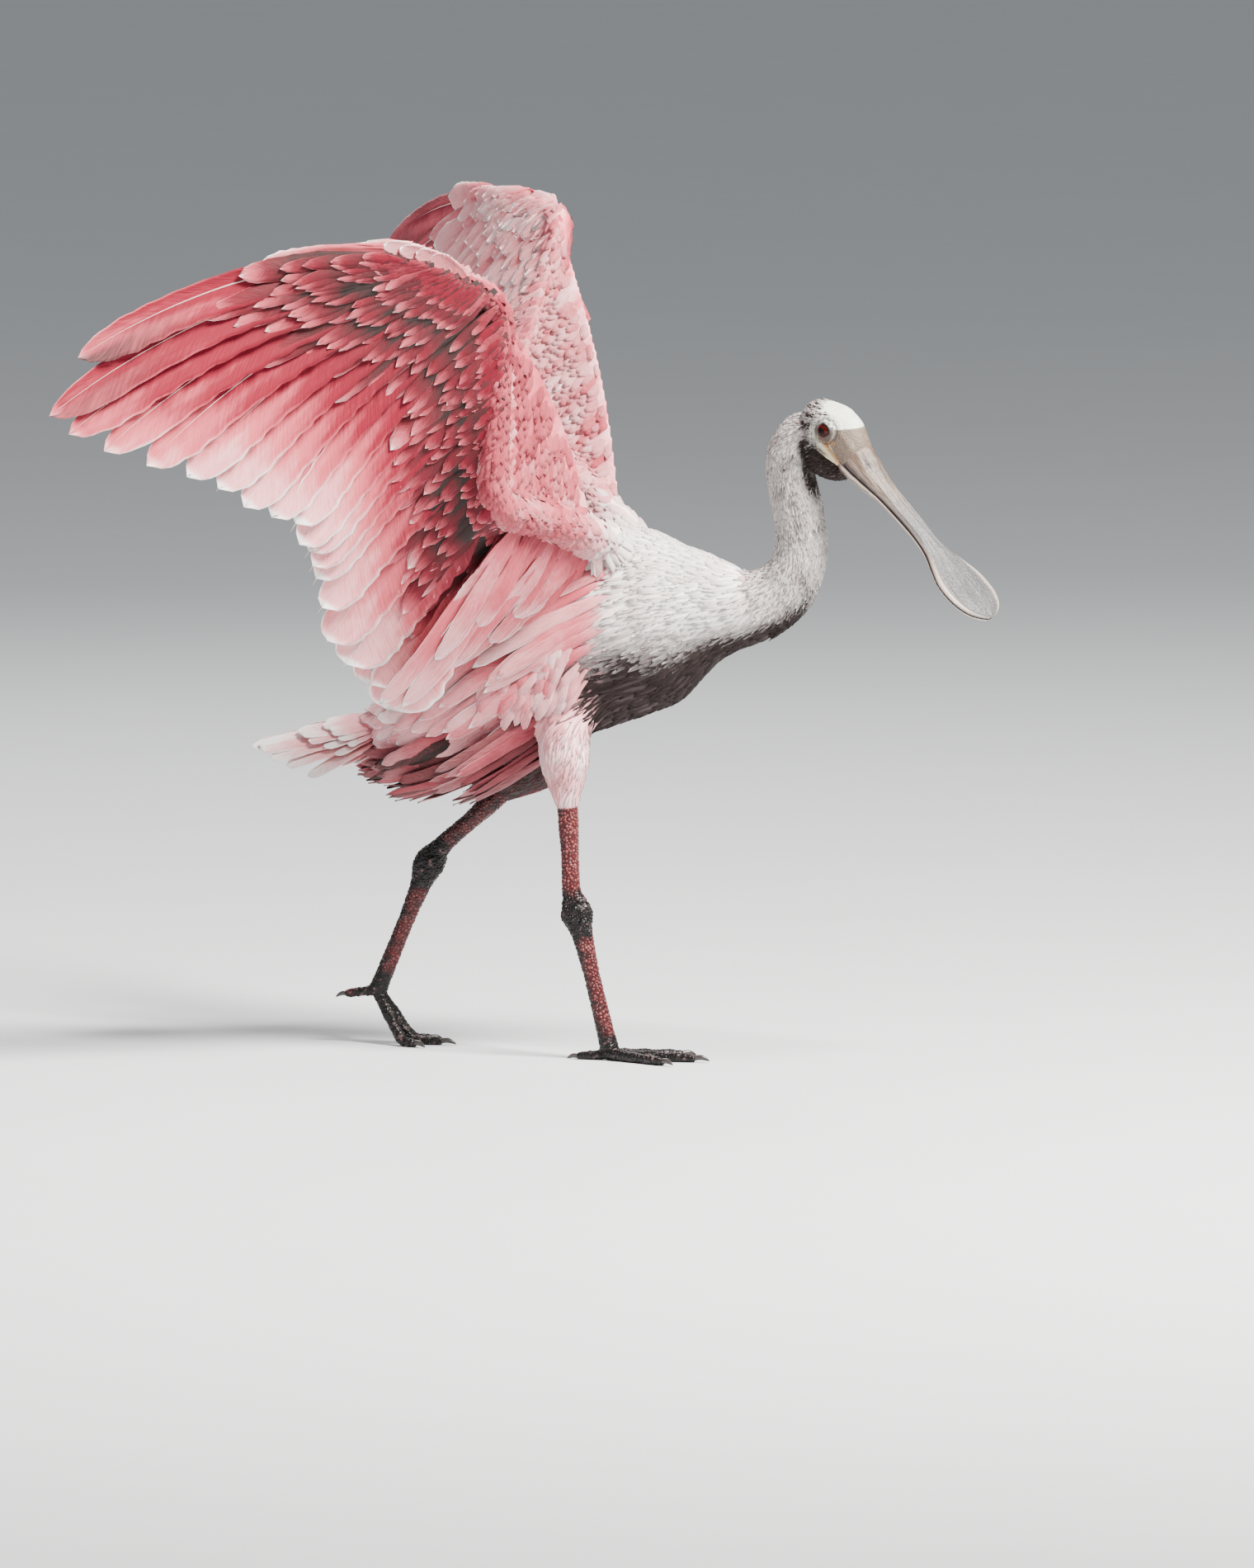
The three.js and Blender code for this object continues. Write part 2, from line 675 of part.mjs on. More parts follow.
// The skin stretched in front of the elbow, from the shoulder to the wrist
function patagium(wing) {
  const { shoulder, elbow, wrist, bulge } = wing;
  const face = shoulder.clone().sub(elbow).cross(wrist.clone().sub(elbow)).normalize();
  const forward = wrist.clone().sub(shoulder).normalize().cross(face).normalize();
  if (forward.dot(elbow.clone().sub(shoulder)) > 0) {
    forward.negate();
  }
  const placeAt = (u, v) => {
    const arm = u < 0.5 ? shoulder.clone().lerp(elbow, 2 * u) : elbow.clone().lerp(wrist, 2 * u - 1);
    const edge = shoulder.clone().lerp(wrist, u);
    edge.addScaledVector(forward, bulge * Math.sin(Math.PI * u));
    return arm.lerp(edge, v);
  };
  return plate({ columns: 8, rows: 2, placeAt, faceAt: () => face, thickAt: () => PATAGIUM_THICK });
}

function wingSolid(wing, side, torso) {
  const pieces = [armSolid(wing), patagium(wing)];
  for (let i = 0; i < FLIGHT_FEATHERS; i += 1) {
    const feather = flightFeather(wing, side, i);
    pieces.push(vane({ ...feather, rows: FLIGHT_ROWS, columns: i < PRIMARIES ? 2 : 1 }));
    for (const tier of COVERT_TIERS.filter(({ every }) => i % every === 0)) {
      pieces.push(covert(feather, tier));
    }
  }
  for (let i = 0; i < ALULA.feathers; i += 1) {
    pieces.push(alulaFeather(wing, side, i));
  }
  for (let i = 0; i < AXILLARS.feathers; i += 1) {
    pieces.push(axillar(wing, side, i));
  }
  return largestPiece(union(pieces).subtract(torso));
}

// Finishes
const finishes = {
  bodyFeathers: { color: 0xf0cfcf, roughness: 0.85 },
  neckFeathers: { color: 0xe9e4dd, roughness: 0.85 },
  wingFeathers: { color: 0xe08a97, roughness: 0.75 },
  bareSkin: { color: 0xcfd3bd, roughness: 0.6 },
  bill: { color: 0xa39d8b, roughness: 0.5 },
  iris: { color: 0xa8271c, roughness: 0.1 },
  legSkin: { color: 0x8c3540, roughness: 0.55 },
  footSkin: { color: 0x2b2222, roughness: 0.6 },
};

const bird = new THREE.Group();

function addPart(name, body, finish) {
  const mesh = body.getMesh();
  const shape = new THREE.BufferGeometry();
  shape.setAttribute('position', new THREE.BufferAttribute(mesh.vertProperties, 3));
  shape.setIndex(new THREE.BufferAttribute(mesh.triVerts, 1));
  shape.computeVertexNormals();
  const part = new THREE.Mesh(shape, new THREE.MeshStandardMaterial({ ...finishes[finish], metalness: 0 }));
  part.name = name;
  bird.add(part);
}

const grownTorso = torsoSolid(GAP);
const neck = neckLengths();
addPart('torso', torsoSolid(), 'bodyFeathers');
addPart('neck_lower', neck.lower, 'neckFeathers');
addPart('neck_upper', neck.upper, 'neckFeathers');
addPart('head', headSolid(), 'bareSkin');
addPart('bill_upper', upperBill(), 'bill');
addPart('bill_lower', billHalf(false), 'bill');
addPart('tail', tailSolid(grownTorso), 'bodyFeathers');
for (const [name, side] of Object.entries(SIDES)) {
  const leg = LEGS[name];
  addPart(`eye_${name}`, eyeBall(side), 'iris');
  addPart(`wing_${name}`, wingSolid(WINGS[name], side, grownTorso), 'wingFeathers');
  addPart(`thigh_${name}`, thigh(leg, grownTorso), 'bodyFeathers');
  addPart(`shank_${name}`, shank(leg), 'legSkin');
  addPart(`tarsus_${name}`, tarsus(leg), 'legSkin');
  addPart(`foot_${name}`, foot(leg, name === 'left'), 'footSkin');
}

// The part's origin is on the floor under the middle of its box.
const box = new THREE.Box3().setFromObject(bird);
const middle = box.getCenter(V(0, 0, 0));
bird.position.set(-middle.x, -middle.y, -box.min.z);

export default bird;
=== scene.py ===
"""Roseate spoonbill, life size, wading with raised wings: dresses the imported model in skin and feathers."""

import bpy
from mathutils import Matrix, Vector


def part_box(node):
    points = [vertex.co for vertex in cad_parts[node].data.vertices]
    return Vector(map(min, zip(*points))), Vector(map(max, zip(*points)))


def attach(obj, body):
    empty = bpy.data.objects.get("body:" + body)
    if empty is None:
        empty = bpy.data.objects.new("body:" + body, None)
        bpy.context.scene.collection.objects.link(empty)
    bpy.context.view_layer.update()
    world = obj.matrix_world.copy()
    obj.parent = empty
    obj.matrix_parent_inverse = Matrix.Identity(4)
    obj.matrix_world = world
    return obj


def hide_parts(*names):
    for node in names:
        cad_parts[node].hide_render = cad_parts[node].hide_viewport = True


bl_info = {
    "name": "Roseate Spoonbill",
    "version": (1, 0, 0),
    "blender": (4, 5, 0),
    "location": "View3D > Sidebar > Spoonbill",
    "description": "Skin, bill, eyes, legs and plumage of a wading roseate spoonbill",
    "category": "Object",
}

import dataclasses
import functools
import math

import bmesh
import bpy
import numpy as np
from bpy.props import FloatProperty, FloatVectorProperty, IntProperty, PointerProperty
from mathutils import Matrix, Vector

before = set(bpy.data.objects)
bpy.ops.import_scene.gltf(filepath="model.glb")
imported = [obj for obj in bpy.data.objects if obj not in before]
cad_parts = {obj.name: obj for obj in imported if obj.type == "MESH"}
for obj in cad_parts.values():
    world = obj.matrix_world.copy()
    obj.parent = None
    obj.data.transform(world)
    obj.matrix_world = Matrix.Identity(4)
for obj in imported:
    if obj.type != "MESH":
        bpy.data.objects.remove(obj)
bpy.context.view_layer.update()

# Sizes of the bird, in millimetres
# +X is the way the body heads, +Y is its left, +Z is up, and both feet rest on Z = 0.

FORWARD = np.array([1.0, 0.0, 0.0])
RIGHT = np.array([0.0, -1.0, 0.0])
UP = np.array([0.0, 0.0, 1.0])
SIDES = {"right": -1, "left": 1}

# Forward, left, up, half width, rise above and drop below, from the root of the tail to inside the head
BODY_STATIONS = np.array([
    [-164, 0, 231, 5, 5, 6],
    [-150, 0, 232, 16, 14, 22],
    [-128, 0, 237, 27, 27, 38],
    [-93, 0, 252, 42, 46, 57],
    [-40, 0, 282, 53, 68, 69],
    [18, 0, 305, 56, 73, 72],
    [68, 0, 319, 51, 72, 67],
    [98, 0, 325, 38, 51, 49],
    [118, 0, 327, 30, 40, 38],
    [139, 0, 329, 25, 30, 30],
    [160, 0, 341, 22, 25, 25],
    [171, 0, 358, 20, 22, 22],
    [174, 0, 377, 19, 20.5, 20.5],
    [172, 0, 397, 18.5, 20, 20],
    [168, 0, 419, 18.5, 20.5, 19],
    [168, -1, 438, 19, 21, 16],
    [175, -3, 452, 18, 20, 12],
    [188, -6, 460, 15, 15, 9],
], float)

HEAD_CENTRE = np.array([210.5, -13.5, 442.0])
HEAD_TURN = math.radians(17.6)
BILL_DIP = math.radians(46.6)
HEAD_LEAN = math.radians(10)
# Forward of the mouth's corners, above them, half width, rise and drop
HEAD_STATIONS = np.array([
    [-45, 2, 3, 3, 3],
    [-42, 2, 10, 9, 10],
    [-34, 2.5, 15.5, 15.5, 16],
    [-22, 3, 17.5, 21.5, 19],
    [-10, 3.5, 16.5, 22.5, 17],
    [0, 4, 14.5, 19.5, 14],
    [6, 4, 13.5, 17, 12.5],
    [11, 4, 12, 14, 10.5],
], float)
# Forward, height of the mouth's line, half width, upper half's rise, lower half's drop
BILL_STATIONS = np.array([
    [2, 0.9, 12.8, 17.5, 10],
    [6.3, 1.2, 13.5, 19, 10.5],
    [14, 2.2, 13, 16.5, 10.5],
    [32, 4.6, 11.4, 10.3, 8.8],
    [50, 6.7, 9.7, 7.4, 6],
    [84, 8.7, 8.8, 6, 5],
    [102, 9.2, 11.5, 5.2, 4.2],
    [116, 9.7, 18, 4.2, 3.2],
    [131, 10.2, 24, 3.2, 2.5],
    [148, 11, 23.8, 2.7, 2.1],
    [159, 11.3, 18, 2.3, 1.8],
    [165, 11.4, 9.5, 2, 1.5],
    [167.5, 11.4, 2.5, 1.6, 1.2],
], float)
EYE = {"forward": -18, "aside": 12.3, "above": 8.6, "radius": 6.5}
LID = {"long": 6.1, "tall": 6.1, "upper": 1.0, "lower": 0.75}
IRIS_ANGLE = math.radians(53)
BILL_GAP = 0.9
NECK_COAT_DEPTH = 2.6

LEGS = {
    "right": {
        "knee": (4, -36, 262), "thigh": (6, -36, 232), "cuff": (8.5, -35, 181),
        "shin": (11.5, -35, 121), "ankle": (15.5, -35, 106), "toes": (39.8, -35, 8),
    },
    "left": {
        "knee": (6, 36, 238), "thigh": (-22, 36, 217), "cuff": (-62, 35, 185),
        "shin": (-105, 35, 147), "ankle": (-115.5, 35, 133), "toes": (-154.7, 35, 39),
    },
}
THIGH_RADII = [27, 23, 9.5]
THIGH_SKIN = [15, 22.5, 9.5]
THIGH_TOP = np.array([0.0, -16.0, 24.0])
THIGH_COAT_DEPTH = 2.5
ARM_COAT_DEPTH = 4.0
PATAGIUM_THICKNESS = 3.0
# How the skin is smoothed round each knee: rounds of smoothing, its strength, and where it fades
KNEE_CALM = {"rounds": 90, "strength": 0.8, "fade": (56, 30)}
# The loose feathered skin under the bill: forward, above, radius
CHIN = np.array([[-26, -8, 9], [-12, -17.5, 12.5], [-1, -15.5, 10.5], [7, -12.5, 7], [13, -10.5, 3]], float)
# Feathers that drape over the top of the thigh: share and turn of the first and the last root, and their reach
DRAPE = {
    "shares": (0.292, 0.235), "turns": (80, 112), "rows": 7, "count": 9, "reach": (-18, -1, -27), "width": 7}
TOE = {"length": 64, "root": 4.6, "tip": 3, "claw": 11, "splay": math.radians(31), "side": 0.86}
TOE_BEND = {"length": 43, "slope": math.radians(50)}
LEG_WIDTHS = [7.0, 7.0, 6.0, 6.0, 8.6, 7.0, 5.4, 5.8, 6.8]
LEG_DEPTHS = [7.2, 7.2, 6.2, 6.7, 11.2, 7.4, 5.7, 6.1, 7.0]
SCALE_GAP = 0.0018
SCALE_SIZE = 0.0013
HIND_TOE = {"length": 24, "root": 3.6, "tip": 2.5, "claw": 8}

WINGS = {
    "right": {
        "shoulder": (30, -38, 378), "elbow": (-10.5, -158, 414),
        "wrist": (-6, -177, 556), "finger": (-67, -235.5, 593.7),
        "tips": {
            0: (-264, -355, 523.5), 1: (-281, -370, 482.6), 5: (-199, -312, 434.5), 9: (-140, -249, 392),
            12: (-134, -222, 362), 17: (-135.6, -171, 307.7), 23: (-108.5, -112, 250),
        },
        "axillars": ((-84, -6, -80), (-100, 4, -142)),
        "bulge": 15,
    },
    "left": {
        "shoulder": (30, 38, 378), "elbow": (-62.4, 62.6, 465.8),
        "wrist": (-35, 103.5, 598), "finger": (-88.4, 179, 610.6),
        "tips": {
            0: (-238.8, 346, 561.7), 1: (-263.4, 364, 505.6), 5: (-221, 263, 475), 9: (-178.6, 162.5, 444),
            12: (-177, 143, 410), 17: (-175, 115, 361), 23: (-172, 82.6, 306),
        },
        "axillars": ((-84, 19, -85), (-132, 22, -128)),
        "bulge": 8,
    },
}
FLIGHT_FEATHERS = 24
PRIMARIES = 10
SECONDARIES = 10
# Shares of the hand and of the forearm between which the feathers are rooted, and step between the innermost
HAND_SPAN = 0.88
FOREARM_SPAN = (0.1, 0.93)
INNER_STEP = 0.07
# The wing's coat starts this far from the middle plane, the floor or the body line, and ends this far ahead
WING_COAT = {"aside": 60, "above": 385, "clear": 50, "ahead": 110}
ARM_RADII = [20, 17, 15, 13, 13, 9, 5]
FLIGHT_WIDTHS = [27, 32, 34, 36, 46, 58]
# Every second flight feather is left out from this one inwards
SPARSE_FROM = 13
AXILLARIES = {"layers": 3, "count": 13, "span": (0.06, 0.80), "roll": math.radians(14)}
ALULA = {"count": 4, "width": 15, "roll": math.radians(6)}
# Rows of points of each kind of vane, and columns on each side of its shaft
GRIDS = {
    "flight": (38, 5), "large_covert": (16, 3), "small_covert": (10, 2), "axillary": (20, 3), "alula": (24, 3),
    "tail": (26, 4), "flank": (15, 3),
}
QUILL = {"thick": 2.2, "lift": -0.2, "rows": 30, "sides": 5}
SPLIT_WIDTH = 0.8
VANE_ROLL = math.radians(11)
BOW = (0.035, 0.05)
SWEEP = (0.06, 0.015)
# Feathers this far along the row on either side set the direction of the one between them
FRAME_REACH = 2
# Rows of coverts: share of the flight feather's length they reach and start at, lift from it, width, colours at
# root and tip, and soot, which on the under rows is painted shade towards the root; their deep roots are
# partly painted shade too.
TIER = ("reach", "start", "lift", "width", "root", "tip", "soot")
UPPER_TIERS = [dict(zip(TIER, row)) for row in (
    (0.44, 0.0, 4.2, 24, 0.62, 0.36, 0.0),
    (0.31, -0.02, 6.4, 22, 0.60, 0.33, 0.0),
    (0.21, -0.04, 8.2, 18, 0.58, 0.30, 0.0),
    (0.14, -0.06, 9.6, 16, 0.52, 0.28, 0.0),
    (0.07, -0.05, 10.4, 14, 0.46, 0.28, 0.0),
)]
UNDER_TIERS = [dict(zip(TIER, row)) for row in (
    (0.52, 0.0, -4.6, 17, 1.25, 0.52, 0.70),
    (0.38, -0.02, -6.6, 13, 1.3, 0.66, 0.90),
    (0.27, -0.04, -8.4, 11, 1.3, 0.68, 0.90),
    (0.17, -0.03, -9.4, 10, 1.15, 0.66, 0.60),
    (0.10, -0.03, -9.6, 9, 0.95, 0.62, 0.10),
)]
# Layers of the tail: share of the feather's length, lift from it, width and colour
TAIL_LAYERS = (
    (1.0, 0.0, 19, 0.32), (0.62, 4.0, 13, 0.40), (0.60, -4.4, 13, 0.44), (0.42, 6.4, 13, 0.44),
    (0.44, -7.0, 13, 0.46))
# Long feathers on the body: turns run from the back, at 0, down the side to the belly, at 180 degrees
FLANK_ROW = ("start", "turns", "sweep", "reach", "lift", "width", "count", "tint", "soot")
FLANK_ROWS = [dict(zip(FLANK_ROW, row)) for row in (
    # The first three rows lie along the belly, and their soot is painted shade under the body.
    (0.155, (125, 179), 2, 0.11, 17, 9, 24, 0.72, 1.1),
    (0.21, (110, 179), 2, 0.12, 22, 9, 22, 0.70, 1.0),
    (0.27, (125, 179), 2, 0.11, 19, 9, 18, 0.66, 0.75),
    (0.15, (8, 130), 6, 0.12, 4, 11, 17, 0.50, 0.05),
    (0.20, (10, 126), 8, 0.12, 4, 12, 17, 0.42, 0.0),
    (0.25, (12, 120), 12, 0.12, 4.5, 13, 16, 0.50, 0.0),
    (0.30, (14, 112), 16, 0.12, 5, 13, 14, 0.54, 0.0),
    (0.345, (18, 92), 18, 0.12, 5.5, 13, 11, 0.56, 0.0),
)]
# Small feathers: rows and columns of points, and half width, closing of the tip, rise of the tip and raggedness
# as shares of their length
TUFTS = {
    "body": (5, 3, 0.16, 1.12, 0.085, 0.28),
    "long": (5, 3, 0.13, 1.12, 0.17, 0.30),
    "short": (4, 3, 0.13, 1.10, 0.20, 0.40),
    "covert": (5, 4, 0.31, 1.25, 0.16, 0.14),
}
TUFT_VARIANTS = 5
TUFT_THICKNESS = 0.008
# Feathers of flank rows that start further forward than this share have pale roots
WHITE_ROOTS_FROM = 0.29
PATCH = 0.003
TOE_JOINTS = np.array([0.3, 0.6, 0.85])
# Parts of the skin: 0 to 3 end at these shares of the body line, 4 lies beyond, and each limb has its own
PART_ENDS = (0.24, 0.36, 0.56, 0.78)
NECK_PART = 4
THIGH_PART = 5
UNDER_ARM = 6
OVER_ARM = 7
# Coats scattered over the skin: name, part, side, kind of tuft, spacing as a share, and length in metres
COATS = (
    ("rump", 0, None, "long", 0.95, 0.027),
    ("flank", 1, None, "body", 0.90, 0.026),
    ("breast", 2, None, "body", 0.50, 0.022),
    ("throat", 3, None, "short", 0.27, 0.016),
    ("neck", NECK_PART, None, "short", 0.24, 0.016),
    ("thighs", THIGH_PART, None, "body", 0.52, 0.022),
    ("arm_right", OVER_ARM, "right", "covert", 0.84, 0.022),
    ("arm_left", OVER_ARM, "left", "covert", 0.84, 0.022),
    ("arm_under_right", UNDER_ARM, "right", "covert", 0.84, 0.022),
    ("arm_under_left", UNDER_ARM, "left", "covert", 0.84, 0.022),
)
NECK_COATS = ("throat", "neck")
NAPE = {"spacing": 0.19, "length": 0.0062, "seed": 20}
# Random turns of a tuft, most tufts in a square metre, and least and greatest growth
TUFT_TURNS = (0.07, 0.08, 0.16)
TUFT_DENSITY = 500000.0
TUFT_GROWTH = (0.78, 1.22)
# Voxels of the fused skins, height above the floor, and points measured at a time
SKIN_VOXEL = 2.1
HEAD_VOXEL = 0.62
LEG_VOXEL = 0.85
FLOOR_GAP = 0.05
BLOCK = 20000

TAIL = {
    "pairs": 6, "middle_root": (-141, -4, 239), "middle_tip": (-238, -9, 221),
    "outer_root": (-137, -16, 230), "outer_tip": (-186, -42, 201), "roll": math.radians(4),
}

# The photograph: its size in pixels, its scale, where the bird's own origin falls, and the camera's angle
PHOTO_WIDTH = 1520
PHOTO_HEIGHT = 1900
PHOTO_SCALE = 0.6
PHOTO_ORIGIN = (690, 1277)
CAMERA_AZIMUTH = math.radians(15)
CAMERA_ELEVATION = math.radians(5)
CAMERA_DISTANCE = 12000
SENSOR = 36

# The studio, in metres: each light's place, size, power and colour
FLOOR_SIDE = 80
LIGHTS = {
    "key": ((1.7, -0.9, 2.6), 1.0, 560, (1.0, 0.96, 0.91)),
    "fill": ((-2.2, -2.4, 1.2), 2.4, 26, (0.92, 0.96, 1.0)),
    "back": ((-1.2, 2.6, 2.4), 1.6, 60, (1.0, 0.97, 0.94)),
}
LIGHTS_AIM = Vector((0, 0, 0.33))
WORLD_COLOUR = (0.86, 0.89, 0.92)
WORLD_STRENGTH = 0.42


# Curves and directions

def unit(v):
    v = np.asarray(v, float)
    return v / np.maximum(np.linalg.norm(v, axis=-1, keepdims=True), 1e-9)


def mix(a, b, t):
    return a + (b - a) * t


def dot(a, b):
    return (a * b).sum(-1, keepdims=True)


def flat_on(v, normal):
    """The direction of v along the surface that has this normal."""
    return unit(v - normal * dot(v, normal))


def ease(a, b, x):
    t = np.clip((np.asarray(x, float) - a) / (b - a), 0, 1)
    return t * t * (3 - 2 * t)


def spline(points, t):
    """A centripetal Catmull-Rom curve through the points, at shares t from 0 to 1."""
    p = np.asarray(points, float)
    p = np.vstack([2 * p[0] - p[1], p, 2 * p[-1] - p[-2]])
    t = np.atleast_1d(np.asarray(t, float)) * (len(p) - 3)
    i = np.clip(np.floor(t).astype(int), 0, len(p) - 4)
    w = (t - i)[:, None]
    a, b, c, d = p[i], p[i + 1], p[i + 2], p[i + 3]
    gaps = (np.linalg.norm(v, axis=1, keepdims=True) for v in (b - a, c - b, d - c))
    e, f, g = (np.maximum(gap, 1e-4) ** 0.5 for gap in gaps)
    m1 = ((b - a) / e - (c - a) / (e + f) + (c - b) / f) * f
    m2 = ((c - b) / f - (d - b) / (f + g) + (d - c) / g) * f
    return b + m1 * w + (3 * (c - b) - 2 * m1 - m2) * w ** 2 + (2 * (b - c) + m1 + m2) * w ** 3


def heading(line, t, step):
    """Direction of a curve at shares t."""
    return unit(spline(line, np.minimum(t + step, 1)) - spline(line, np.maximum(t - step, 0)))


def nearest(points, line, samples=60):
    """Distance from each point to a curve, and the share along it of the nearest place."""
    path = spline(line, np.linspace(0, 1, samples))
    blocks = []
    for start in range(0, len(points), BLOCK):
        away = ((points[start:start + BLOCK, None] - path) ** 2).sum(-1)
        blocks.append([away.min(1), away.argmin(1)])
    squared, place = np.hstack(blocks)
    return np.sqrt(squared), place / (samples - 1)


def spots(table, *names):
    return [np.array(table[name], float) for name in names]


head_forward = np.array([
    math.cos(BILL_DIP) * math.cos(HEAD_TURN), -math.cos(BILL_DIP) * math.sin(HEAD_TURN), -math.sin(BILL_DIP)])
level_right = np.array([-math.sin(HEAD_TURN), -math.cos(HEAD_TURN), 0])
head_right = np.array(Matrix.Rotation(HEAD_LEAN, 3, Vector(head_forward)) @ Vector(level_right))
head_up = np.cross(head_right, head_forward)


def in_head(forward, aside, above):
    forward, aside, above = (np.asarray(v, float)[..., None] for v in (forward, aside, above))
    return HEAD_CENTRE + forward * head_forward + aside * head_right + above * head_up


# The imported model's origin is under the middle of its box, so the shift to it is read off one eye.
low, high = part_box("eye_right")
SHIFT = (np.array(low) + np.array(high)) * 500 - in_head(EYE["forward"], EYE["aside"], EYE["above"])


def to_frame(points):
    return (np.asarray(points, float) + SHIFT) / 1000


# Meshes

def read(items, key, width=1, kind=float):
    """One value, or one row of values, of every item in a mesh's list."""
    values = np.empty(len(items) * width, kind)
    items.foreach_get(key, values)
    return values if width == 1 else values.reshape(-1, width)


def corners_of(mesh):
    return read(mesh.loops, "vertex_index", kind=np.int32)


def mesh_points(piece):
    return read(piece.data.vertices, "co", 3)


def mesh_normals(piece):
    return read(piece.data.vertices, "normal", 3)


def set_points(piece, points):
    piece.data.vertices.foreach_set("co", np.asarray(points, float).ravel())
    piece.data.update()


def store(piece, name, value):
    """Stores a number, or a vector, for each point."""
    value = np.asarray(value, float)
    kind, key = ("FLOAT", "value") if value.ndim == 1 else ("FLOAT_VECTOR", "vector")
    piece.data.attributes.new(name, kind, "POINT").data.foreach_set(key, value.ravel())


def store_map(piece, name, value):
    """Stores a place on a map for each corner."""
    piece.data.uv_layers.new(name=name).data.foreach_set("uv", value.ravel())


def link(piece):
    bpy.context.scene.collection.objects.link(piece)
    return piece


def mesh_piece(name, points, faces):
    """A smooth-shaded piece that is in no collection yet."""
    mesh = bpy.data.meshes.new(name)
    mesh.from_pydata(np.asarray(points).tolist(), [], faces)
    smooth(mesh)
    return bpy.data.objects.new(name, mesh)


def smooth(mesh):
    mesh.polygons.foreach_set("use_smooth", np.ones(len(mesh.polygons), bool))


def face_outwards(piece):
    """Turns every face of a closed piece outwards."""
    work = bmesh.new()
    work.from_mesh(piece.data)
    bmesh.ops.recalc_face_normals(work, faces=work.faces)
    work.to_mesh(piece.data)
    work.free()


def plain_mesh(piece):
    """Puts what the modifiers make into the piece's own mesh and takes the modifiers away."""
    result = bpy.data.meshes.new_from_object(piece.evaluated_get(bpy.context.evaluated_depsgraph_get()))
    old = piece.data
    piece.modifiers.clear()
    piece.data = result
    bpy.data.meshes.remove(old)
    piece.data.name = piece.name
    return piece


class Batch:
    """Many closed shapes gathered into one mesh, with maps and values kept for every point."""

    def __init__(self, shapes=()):
        self.points, self.faces, self.values = [], [], {}
        self.count = self.pieces = 0
        for shape in shapes:
            self.add(*shape)

    def add(self, points, faces, **values):
        """Adds a shape. Each value is one number, or one number or row for each of its points."""
        self.faces += [[corner + self.count for corner in face] for face in faces]
        self.points.append(points)
        for name, value in (*values.items(), ("shape", self.pieces)):
            value = np.asarray(value, float)
            wanted = (len(points),) + value.shape[1:]
            self.values.setdefault(name, []).append(np.broadcast_to(value, wanted))
        self.count += len(points)
        self.pieces += 1

    def add_feather(self, feather, tint, soot, vary, least=0.02):
        """Adds the points, faces and map of a vane in its colours."""
        tint = np.clip(tint, least, 1)
        self.add(feather.points, feather.faces, vane=feather.map, tint=tint, soot=soot, vary=vary)

    def piece(self, name, place=np.asarray):
        piece = link(mesh_piece(name, place(np.vstack(self.points)), self.faces))
        face_outwards(piece)
        return piece

    def build(self, name, stuff):
        """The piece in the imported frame, with its maps, its values and its material."""
        values = {key: np.concatenate(blocks) for key, blocks in self.values.items()}
        shape = values.pop("shape")
        if "vane" in values:
            values["OFBake"] = atlas(values["vane"], shape, self.pieces)
        piece = self.piece(name, to_frame)
        for key, value in values.items():
            if value.ndim == 2:
                store_map(piece, key, value[corners_of(piece.data)])
            else:
                store(piece, key, value)
        piece.data.materials.append(material(stuff))
        return piece


def atlas(vane, shape, count):
    """A cell of the map for each feather, with its vane laid in it."""
    side = math.ceil(math.sqrt(count))
    cell = np.column_stack([shape % side, shape // side])
    return (cell + 0.05 + 0.9 * vane) / side


def grid_faces(rows, columns, closed):
    """Quads of a grid of points, whose columns join up where closed."""
    start = np.arange(rows - 1) * columns
    r, c = np.meshgrid(start, np.arange(columns if closed else columns - 1), indexing="ij")
    n = (c + 1) % columns
    return np.stack([r + c, r + n, r + columns + n, r + columns + c], -1).reshape(-1, 4)


def sheet_faces(rows, columns):
    """Quads of a thin closed sheet: the grids of its upper and its under points, and the rim's walls."""
    count = rows * columns
    sheet = grid_faces(rows, columns, False)
    rim = np.concatenate([
        np.arange(columns - 1), np.arange(rows - 1) * columns + columns - 1,
        (rows - 1) * columns + np.arange(columns - 1, 0, -1), np.arange(rows - 1, 0, -1) * columns])
    after = np.roll(rim, -1)
    walls = np.stack([rim, rim + count, after + count, after], -1)
    return np.vstack([sheet, sheet[:, ::-1] + count, walls]).tolist()


def tube(line, girth, across=RIGHT, facing=None, sides=48, rings=64, grow=0.0):
    """Points of a tube of oval sections: 'girth' has half width, rise and drop, or a radius, at each point."""
    girth = np.asarray(girth, float)
    girth = girth if girth.ndim == 2 else np.column_stack([girth] * 3)
    t = np.linspace(0, 1, rings)
    path = spline(line, t)
    here = np.maximum(spline(girth, t) + np.reshape(grow, (-1, 1)), 0.05)
    ahead = heading(line, t, 0.002) if facing is None else np.broadcast_to(facing, path.shape)
    side = unit(across - ahead * (ahead @ across)[:, None])
    top = np.cross(side, ahead)
    angle = np.linspace(0, 2 * np.pi, sides, endpoint=False)
    x, y = np.sin(angle)[None, :, None], np.cos(angle)[None, :, None]
    tall = np.where(y > 0, here[:, None, 1:2], here[:, None, 2:3])
    return path[:, None] + side[:, None] * x * here[:, None, 0:1] + top[:, None] * y * tall


def closed(points, floor=None):
    """Points and faces of a tube closed by a middle point at each end, and kept above a floor."""
    if floor is not None:
        points[..., 2] = np.maximum(points[..., 2], floor)
    rings, sides = points.shape[:2]
    flat = np.vstack([points.reshape(-1, 3), points[0].mean(0), points[-1].mean(0)])
    faces = grid_faces(rings, sides, True).tolist()
    first, last = rings * sides, rings * sides + 1
    for k in range(sides):
        n = (k + 1) % sides
        faces += [[first, n, k], [last, (rings - 1) * sides + k, (rings - 1) * sides + n]]
    return flat, faces


